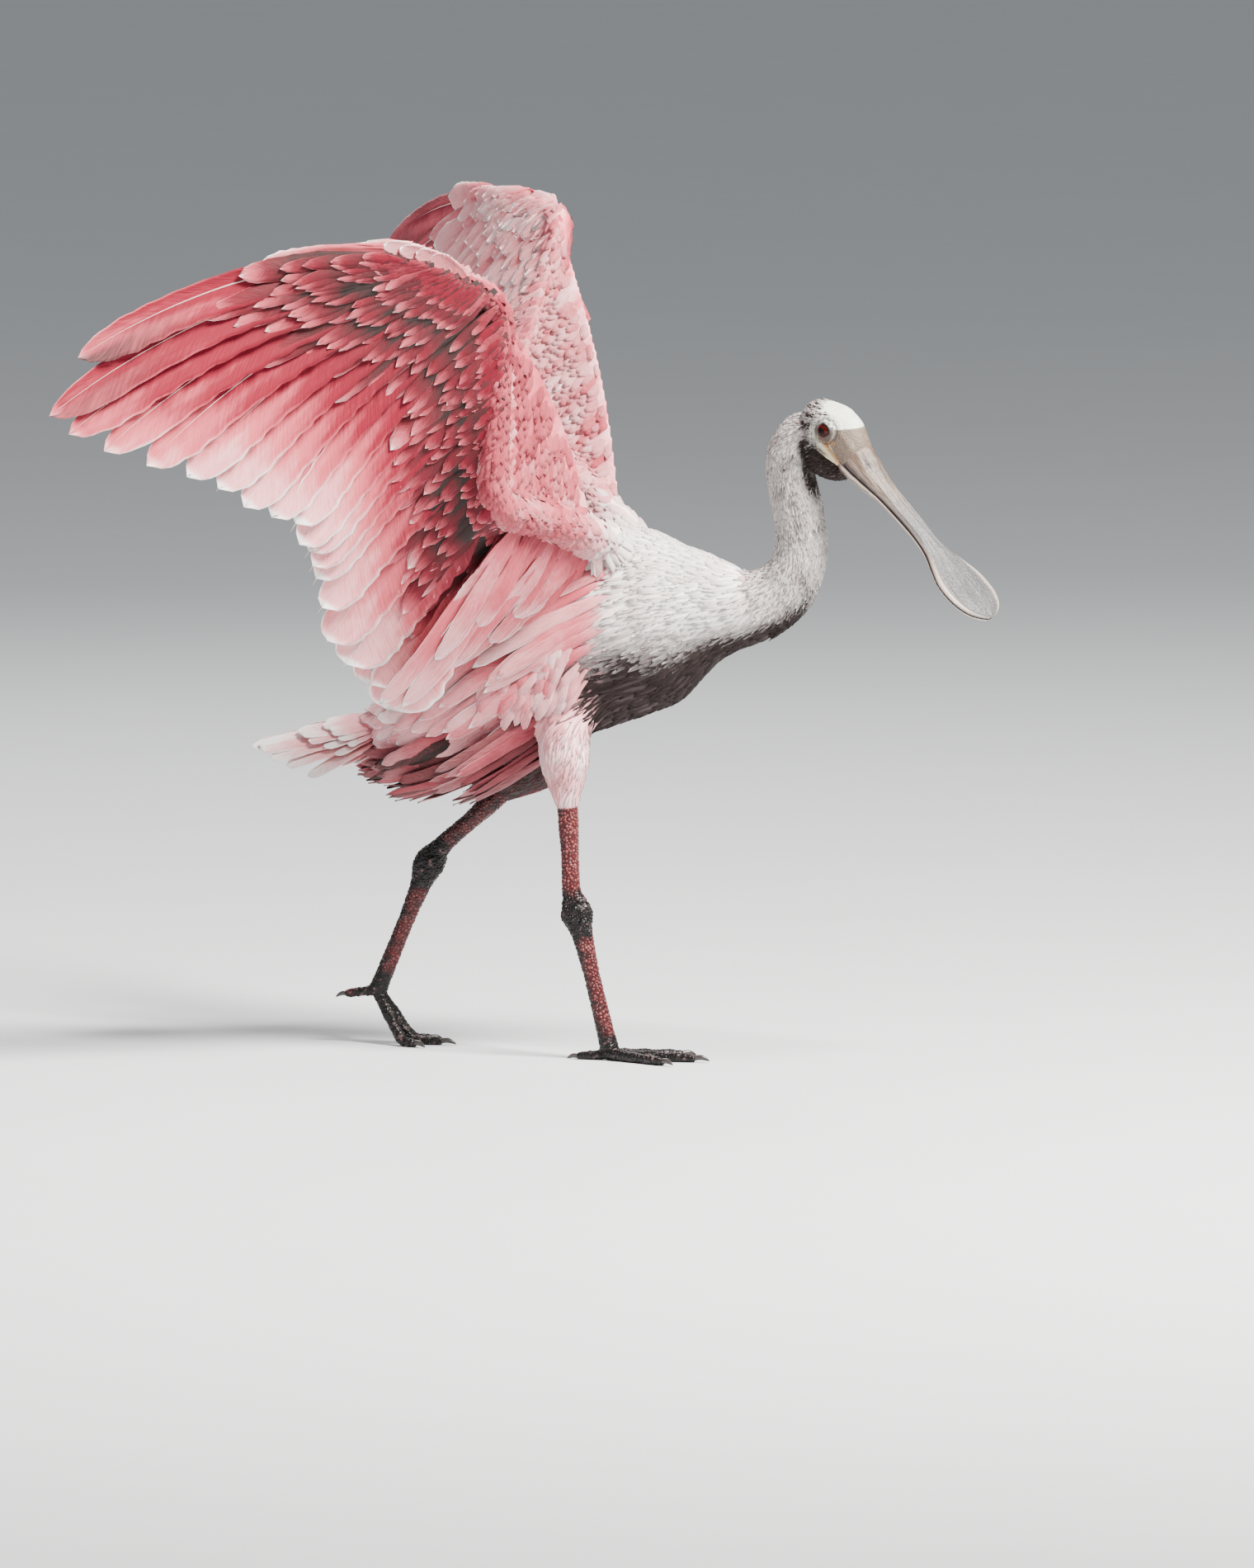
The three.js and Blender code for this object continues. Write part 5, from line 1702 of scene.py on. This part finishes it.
def axillary_feathers(name):
    """The long loose feathers that hang from the arm along the flank."""
    batch = Batch()
    random = draws(20 + SIDES[name])
    shoulder, elbow = spots(WINGS[name], "shoulder", "elbow")
    near, far = np.array(WINGS[name]["axillars"], float)
    for layer in range(AXILLARIES["layers"]):
        for k in range(AXILLARIES["count"]):
            share = k / (AXILLARIES["count"] - 1)
            root = mix(shoulder, elbow, mix(*AXILLARIES["span"], share)) + [0, 0, -3.0 * layer]
            reach = mix(near, far, share) * (1.0 - 0.24 * layer) * random.uniform(0.86, 1.08)
            tip = root + reach + random.normal(0, 5, 3)
            directions = rolled(reach, elbow - shoulder, SIDES[name], AXILLARIES["roll"])
            feather = Feather(Shaft(root, tip, *directions, -0.05), Vane(
                random.uniform(15, 21), 0.5, GRIDS["axillary"], 0.24, lift=-2.4 * layer, foot=0.25, full=0.5,
                wave=0.9, sway=random.normal(0, 3), seed=int(random.integers(10000))))
            along = feather.along
            tint = 0.60 + 0.20 * ease(0.5, 0.0, along) - 0.26 * ease(0.6, 1.0, along)
            tint += random.normal(0, 0.06)
            # Painted shade at the roots, under the feathers above.
            batch.add_feather(feather, tint, 0.35 * ease(0.35, 0.0, along), random.uniform(), least=0.0)
    return batch.build(f"axillary_feathers_{name}", "feathers")


def alula_feathers(name):
    """The few stiff feathers of the wing's thumb."""
    batch = Batch()
    wrist, finger = spots(WINGS[name], "wrist", "finger")
    lead, face = (v[0] for v in flight_shaft(name, 0).frame(np.array([0.0])))
    for k in range(ALULA["count"]):
        root = mix(wrist, finger, 0.1 + 0.05 * k) + lead * 2
        tip = mix(wrist, finger, 1.08 - 0.16 * k) + lead * (6 + 2.5 * k) + face * (1.5 * k - 2)
        shaft = Shaft(root, tip, *rolled(tip - root, lead, SIDES[name], ALULA["roll"]), 0.05, 0.06)
        feather = Feather(shaft, Vane(ALULA["width"], 0.4, GRIDS["alula"], 0.25, seed=k + 900, splits=1))
        batch.add_feather(feather, 0.44, 0.0, 0.2 * k)
    return batch.build(f"alula_feathers_{name}", "feathers")


class SPOONBILL_OT_wings(bpy.types.Operator):
    """Make the flight feathers, coverts, alula and axillary feathers of both wings"""

    bl_idname = "spoonbill.wings"
    bl_label = "Wings"

    def execute(self, context):
        for name in SIDES:
            vanes, quills = flight_feathers(name)
            keep(vanes, "wing_feathers", f"wing_{name}")
            others = (
                quills, covert_feathers(name, True), covert_feathers(name, False), axillary_feathers(name),
                alula_feathers(name))
            for piece in others:
                keep(piece, "wing_feathers")
        return {"FINISHED"}


# Tail, flanks and vent

def tail_feathers():
    """Six pairs of tail feathers, the middle pair uppermost, with coverts above and below."""
    batch = Batch()
    random = draws(50)
    names = ("middle_root", "middle_tip", "outer_root", "outer_tip")
    middle_root, middle_tip, outer_root, outer_tip = spots(TAIL, *names)
    for reach, lift, width, base in TAIL_LAYERS:
        for side in SIDES.values():
            mirror = np.array([1, -side, 1])
            outward = (outer_tip - middle_tip) * [0, 1, 1] * mirror
            for pair in range(TAIL["pairs"]):
                spread = pair / (TAIL["pairs"] - 1)
                curve = math.sin(math.pi * spread)
                root = mix(middle_root, outer_root, spread) * mirror
                tip = (mix(middle_tip, outer_tip, spread) + [-14 * curve, 0, 5 * curve]) * mirror
                shaft = Shaft(root, tip, *rolled(tip - root, outward, side, TAIL["roll"]), 0.02)
                feather = Feather(shaft, Vane(
                    width, 0.48, GRIDS["tail"], 0.16, reach=reach * random.uniform(0.93, 1.02), lift=lift,
                    seed=int(random.integers(10000)), foot=0.3, full=0.4, sway=random.normal(0, 1.2), wave=0.3))
                along = feather.along
                tint = base + 0.22 * ease(0.5, 0.0, along) - 0.3 * ease(0.5, 1.0, along)
                batch.add_feather(feather, tint + random.normal(0, 0.04), 0.0, random.uniform())
    return batch.build("tail_feathers", "feathers")


def loose_feather(random, shaft, width, blunt, camber, sway):
    """A long soft feather of the flank, with edges that wave."""
    return Feather(shaft, Vane(
        width * random.uniform(0.8, 1.15), 0.5, GRIDS["flank"], blunt, foot=blunt, full=0.5, wave=0.6,
        camber=camber, sway=random.normal(0, sway), seed=int(random.integers(10000))))


def flank_feathers(name, side):
    """Long soft feathers that stream back over the flank and the rump, and drape over the thigh."""
    batch = Batch()
    random = draws(70 + side)
    for row in FLANK_ROWS:
        for k in range(row["count"]):
            turn = math.radians(mix(*row["turns"], k / (row["count"] - 1))) + random.normal(0, 0.03)
            sweep = math.radians(row["sweep"]) + random.normal(0, 0.05)
            start = row["start"] + random.normal(0, 0.008), -side * turn
            end = start[0] - row["reach"] * random.uniform(0.85, 1.15), -side * (turn + sweep)
            shaft = BodyShaft(start, end, (-8.0, row["lift"] * random.uniform(0.7, 1.2)))
            feather = loose_feather(random, shaft, row["width"], 0.3, 0.12, 2.5)
            along = feather.along
            tint = row["tint"] + 0.12 * ease(0.6, 0.3, along) - 0.14 * ease(0.6, 1.0, along)
            if row["start"] > WHITE_ROOTS_FROM:
                tint = mix(0.2, tint, ease(0.0, 0.4, along))
            tint = tint + random.normal(0, 0.08)
            # The row's soot is painted shade under the body, and the darker roots are painted shade under the
            # feathers in front.
            soot = row["soot"] * (0.4 + 0.6 * random.uniform()) + 0.12 * ease(0.3, 0.0, along)
            batch.add_feather(feather, tint, soot, random.uniform())
    for row in range(DRAPE["rows"]):
        for k in range(DRAPE["count"]):
            share = mix(*DRAPE["shares"], (k + 0.5 * (row % 2)) / DRAPE["count"]) + random.normal(0, 0.004)
            turn = math.radians(mix(*DRAPE["turns"], row / (DRAPE["rows"] - 1)) + random.normal(0, 2))
            root, outward = (v[0] for v in body_surface(share, -side * turn, -6.0))
            tip = root + np.array(DRAPE["reach"]) * [1, -side, 1] * random.uniform(0.8, 1.1)
            lead, face = rolled(tip - root, FORWARD, side, 0)
            shaft = Shaft(root, tip, lead, face * np.sign(face @ outward), 0.14)
            feather = loose_feather(random, shaft, DRAPE["width"], 0.35, 0.1, 2)
            tint = 0.34 + 0.16 * (share < 0.27) + random.normal(0, 0.09)
            # Painted shade at the roots, under the feathers above.
            batch.add_feather(feather, tint, 0.30 * ease(0.5, 0.0, feather.along), random.uniform())
    return batch.build(f"flank_feathers_{name}", "feathers")


class SPOONBILL_OT_tail(bpy.types.Operator):
    """Make the tail and the long feathers of the flanks, rump and vent"""

    bl_idname = "spoonbill.tail"
    bl_label = "Tail and flanks"

    def execute(self, context):
        keep(tail_feathers(), "body_feathers", "tail")
        for name, side in SIDES.items():
            keep(flank_feathers(name, side), "body_feathers")
        return {"FINISHED"}


# Small feathers and scales scattered by Geometry Nodes

def scale_shape():
    """A six-sided scale with a domed top."""
    angle = np.linspace(0, 2 * np.pi, 6, endpoint=False) + 0.5
    levels = ((0.92, -0.5), (0.74, 0.24), (0.0, 0.36))
    rims = [np.column_stack([wide * np.cos(angle), wide * np.sin(angle), np.full(6, high)])
            for wide, high in levels]
    points = np.vstack(rims)[:13]
    faces = [(k, (k + 1) % 6, (k + 1) % 6 + 6, k + 6) for k in range(6)]
    faces += [(k + 6, (k + 1) % 6 + 6, 12) for k in range(6)]
    return points, [*faces, (5, 4, 3, 2, 1, 0)], points[:, :2] / 2 + 0.5


def tuft_shape(kind, variant):
    """A small ragged feather, its root at the origin, lying along +Y with +Z out of the skin."""
    random = np.random.default_rng(300 + variant)
    rows, columns, wide, close, rise, ragged = TUFTS[kind]
    s, c = np.meshgrid(np.linspace(0, 1, rows), np.linspace(-1, 1, columns), indexing="ij")
    half = wide * (0.4 + 0.6 * ease(0, 0.45, s)) * np.sqrt(1 - ease(0.55, close, s))
    ends = random.uniform(-ragged, ragged * 0.4, columns)[None] * ease(0.55, 1, s)
    y = s + ends - 0.12 * c ** 2 * s
    z = -0.035 + rise * s * (1.35 - 0.35 * s) - 0.09 * c ** 2 * (0.4 + s)
    x = c * half + 0.05 * np.sin(3 * s + variant) * s
    layers = [np.stack([x, y, z + thick], -1).reshape(-1, 3) for thick in (TUFT_THICKNESS, -TUFT_THICKNESS)]
    laid = np.tile(np.stack([(c + 1) / 2, s], -1).reshape(-1, 2), (2, 1))
    return np.vstack(layers), sheet_faces(rows, columns), laid


def tuft_collection(kind):
    name = f"tufts_{kind}"
    if name in bpy.data.collections:
        return bpy.data.collections[name]
    group = bpy.data.collections.new(name)
    for variant in range(1 if kind == "scale" else TUFT_VARIANTS):
        points, faces, laid = scale_shape() if kind == "scale" else tuft_shape(kind, variant)
        tuft = mesh_piece(f"tuft_{kind}_{variant}", points, faces)
        store_map(tuft, "vane", laid[corners_of(tuft.data)])
        store(tuft, "rise", points[:, 2])
        face_outwards(tuft)
        group.objects.link(tuft)
    return group


COAT_INPUTS = {
    "Geometry": "Geometry", "Tufts": "Collection", "Spacing": "Float", "Length": "Float", "Seed": "Int",
    "Material": "Material",
}


class Tree(Nodes):
    """Short calls for building a node tree of geometry."""

    def attribute(self, name, kind="FLOAT"):
        settings = {"data_type": kind}
        return self.node("GeometryNodeInputNamedAttribute", name=name, out="Attribute", settings=settings)

    def store(self, geometry, name, value, kind="FLOAT", domain="POINT"):
        settings = {"data_type": kind, "domain": domain}
        return self.node(
            "GeometryNodeStoreNamedAttribute", geometry=geometry, name=name, value=value, settings=settings)

    def random(self, low, high, seed, kind="FLOAT"):
        """A random number or vector between two others."""
        vector = kind == "FLOAT_VECTOR"
        values = (low, high) if vector else (None, None, low, high)
        return self.node(
            "FunctionNodeRandomValue", *values, seed=seed, out=0 if vector else 1, settings={"data_type": kind})

    def vectors(self, operation, *values, **named):
        return self.node("ShaderNodeVectorMath", *values, settings={"operation": operation}, **named)


def coat_tree():
    """Scatters tufts over a skin: they lie along 'lie', grow by 'size' and keep the skin's colours and unwrap.

    Each tuft is then bent to follow the skin as closely as 'cling' says, at the height that 'rise' gives."""
    if "Coat" in bpy.data.node_groups:
        return bpy.data.node_groups["Coat"]
    t = Tree(bpy.data.node_groups.new("Coat", "GeometryNodeTree"))
    for name, kind in COAT_INPUTS.items():
        t.tree.interface.new_socket(name, in_out="INPUT", socket_type=f"NodeSocket{kind}")
    t.tree.interface.new_socket("Geometry", in_out="OUTPUT", socket_type="NodeSocketGeometry")
    given = t.tree.nodes.new("NodeGroupInput").outputs
    skin, tufts, spacing, length, seed, stuff = (Value(t, socket) for socket in given[:6])
    outwards = t.attribute("out", "FLOAT_VECTOR")
    points = t.node(
        "GeometryNodeDistributePointsOnFaces", mesh=skin, distance_min=spacing, density_max=TUFT_DENSITY,
        density_factor=t.attribute("cover"), seed=seed, settings={"distribute_method": "POISSON"})
    axes = t.node(
        "FunctionNodeAxesToRotation", outwards, t.attribute("lie", "FLOAT_VECTOR"),
        settings={"primary_axis": "Z", "secondary_axis": "Y"})
    jitter = t.random([-turn for turn in TUFT_TURNS], TUFT_TURNS, seed, "FLOAT_VECTOR")
    turn = t.node(
        "FunctionNodeRotateRotation", axes, t.node("FunctionNodeEulerToRotation", jitter),
        settings={"rotation_space": "LOCAL"})
    stature = t.attribute("size") * length * t.random(*TUFT_GROWTH, None)
    shapes = t.node("GeometryNodeCollectionInfo", collection=tufts, separate_children=True, reset_children=True)
    placed = t.node(
        "GeometryNodeInstanceOnPoints", points=points, instance=shapes, pick_instance=True, rotation=turn,
        scale=stature)
    named = t.store(placed, "vary", t.random(None, None, 5), domain="INSTANCE")
    height = t.node("ShaderNodeSeparateXYZ", t.node("GeometryNodeInputInstanceScale"), out=2)
    real = t.node("GeometryNodeRealizeInstances", t.store(named, "stature", height, domain="INSTANCE"))
    on_skin = t.node("GeometryNodeProximity", skin, out="Position", settings={"target_element": "FACES"})
    outward = t.node(
        "GeometryNodeSampleNearestSurface", mesh=skin, value=outwards, settings={"data_type": "FLOAT_VECTOR"})
    raised = t.vectors("SCALE", outward, scale=t.attribute("rise") * t.attribute("stature"))
    settled = t.node(
        "ShaderNodeMix", t.attribute("cling"), None, None, None, t.node("GeometryNodeInputPosition"),
        t.vectors("ADD", on_skin, raised), out=1, settings={"data_type": "VECTOR"})
    bent = t.node("GeometryNodeSetPosition", geometry=real, position=settled)
    vane, chart = (t.attribute(name, "FLOAT_VECTOR") for name in ("vane", "chart"))
    cell = t.vectors("MULTIPLY_ADD", vane, (PATCH, PATCH, 0), chart)
    baked = t.store(bent, "OFBake", cell, "FLOAT2", "CORNER")
    painted = t.node("GeometryNodeSetMaterial", geometry=baked, material=stuff)
    t.put(t.tree.nodes.new("NodeGroupOutput").inputs[0], painted)
    return t.tree


def coat(skin, name, kind, spacing, length, seed, stuff, where=1):
    """A piece of coat scattered over a skin, or over the part of it where 'where' is 1."""
    piece = link(bpy.data.objects.new(name, skin.data.copy()))
    cover = piece.data.attributes["cover"].data
    cover.foreach_set("value", read(cover, "value") * where)
    layers = piece.modifiers.new("Coat", "NODES")
    layers.node_group = tree = coat_tree()
    sockets = {item.name: item.identifier for item in tree.interface.items_tree if item.in_out == "INPUT"}
    values = {
        "Tufts": tuft_collection(kind), "Spacing": spacing, "Length": length, "Seed": sizes().seed + seed,
        "Material": material(stuff)}
    for key, value in values.items():
        layers[sockets[key]] = value
    return plain_mesh(piece)


class SPOONBILL_OT_plumage(bpy.types.Operator):
    """Scatter the small feathers of the body, neck, head, thighs and arms"""

    bl_idname = "spoonbill.plumage"
    bl_label = "Plumage"

    def execute(self, context):
        skin = bpy.data.objects["skin"]
        part = read(skin.data.attributes["part"].data, "value")
        right = mesh_points(skin)[:, 1] * 1000 < SHIFT[1]
        gap = sizes().tuft_spacing
        for k, (name, number, side, kind, share, length) in enumerate(COATS):
            where = (part == number) & (side is None or right == (side == "right"))
            piece = coat(skin, f"plumage_{name}", kind, gap * share, length, k, "feathers", where)
            keep(piece, "neck_feathers" if name in NECK_COATS else "body_feathers")
        nape = coat(
            bpy.data.objects["head_hide"], "plumage_nape", "short", gap * NAPE["spacing"], NAPE["length"],
            NAPE["seed"], "feathers")
        keep(nape, "neck_feathers")
        return {"FINISHED"}


# Stage

class SPOONBILL_OT_stage(bpy.types.Operator):
    """Set the pale floor, the soft lights and the camera at the photograph's angle"""

    bl_idname = "spoonbill.stage"
    bl_label = "Stage"

    def execute(self, context):
        self.camera(context)
        half = FLOOR_SIDE / 2
        corners = [(-half, -half, 0), (half, -half, 0), (half, half, 0), (-half, half, 0)]
        floor = link(mesh_piece("floor", corners, [(0, 1, 2, 3)]))
        floor.data.materials.append(material("studio_floor"))
        for name, (place, size, power, colour) in LIGHTS.items():
            lamp = bpy.data.lights.new(name, "AREA")
            lamp.size, lamp.energy, lamp.color = size, power, colour
            holder = link(bpy.data.objects.new(name, lamp))
            holder.location = place
            holder.rotation_euler = (LIGHTS_AIM - Vector(place)).to_track_quat("-Z", "Y").to_euler()
        context.scene.world = bpy.data.worlds.new("studio")
        context.scene.world.use_nodes = True
        background = context.scene.world.node_tree.nodes["Background"]
        background.inputs["Color"].default_value = (*WORLD_COLOUR, 1)
        background.inputs["Strength"].default_value = WORLD_STRENGTH
        return {"FINISHED"}

    def camera(self, context):
        a, e = CAMERA_AZIMUTH, CAMERA_ELEVATION
        back = np.array([math.sin(a) * math.cos(e), -math.cos(a) * math.cos(e), math.sin(e)])
        right = np.array([math.cos(a), math.sin(a), 0])
        upward = np.cross(back, right)
        centre = right * (PHOTO_WIDTH / 2 - PHOTO_ORIGIN[0]) * PHOTO_SCALE
        centre = centre + upward * (PHOTO_ORIGIN[1] - PHOTO_HEIGHT / 2) * PHOTO_SCALE
        camera = link(bpy.data.objects.new("camera", bpy.data.cameras.new("camera")))
        camera.location = Vector(to_frame(centre + back * CAMERA_DISTANCE))
        camera.rotation_euler = Vector(-back).to_track_quat("-Z", "Y").to_euler()
        camera.data.sensor_width = SENSOR
        camera.data.lens = SENSOR * CAMERA_DISTANCE / (PHOTO_HEIGHT * PHOTO_SCALE)
        camera.data.clip_end = 100
        context.scene.camera = camera


OPERATORS = (
    SPOONBILL_OT_skin, SPOONBILL_OT_head, SPOONBILL_OT_eyes, SPOONBILL_OT_bill, SPOONBILL_OT_legs,
    SPOONBILL_OT_wings, SPOONBILL_OT_tail, SPOONBILL_OT_plumage, SPOONBILL_OT_stage,
)


class SPOONBILL_PT_panel(bpy.types.Panel):
    bl_label = "Spoonbill"
    bl_idname = "SPOONBILL_PT_panel"
    bl_space_type = "VIEW_3D"
    bl_region_type = "UI"
    bl_category = "Spoonbill"

    def draw(self, context):
        for settings in (context.scene.spoonbill_sizes, context.scene.spoonbill_colours):
            for key in settings.bl_rna.properties.keys():
                if key not in {"rna_type", "name"}:
                    self.layout.prop(settings, key)
        for operator in OPERATORS:
            self.layout.operator(operator.bl_idname)


CLASSES = (SpoonbillSizes, SpoonbillColours, *OPERATORS, SPOONBILL_PT_panel)


def register():
    for cls in CLASSES:
        bpy.utils.register_class(cls)
    bpy.types.Scene.spoonbill_sizes = PointerProperty(type=SpoonbillSizes)
    bpy.types.Scene.spoonbill_colours = PointerProperty(type=SpoonbillColours)


def unregister():
    del bpy.types.Scene.spoonbill_colours
    del bpy.types.Scene.spoonbill_sizes
    for cls in reversed(CLASSES):
        bpy.utils.unregister_class(cls)


def main():
    register()
    for operator in OPERATORS:
        section, action = operator.bl_idname.split(".")
        getattr(getattr(bpy.ops, section), action)()
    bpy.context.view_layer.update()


if __name__ == "__main__":
    main()
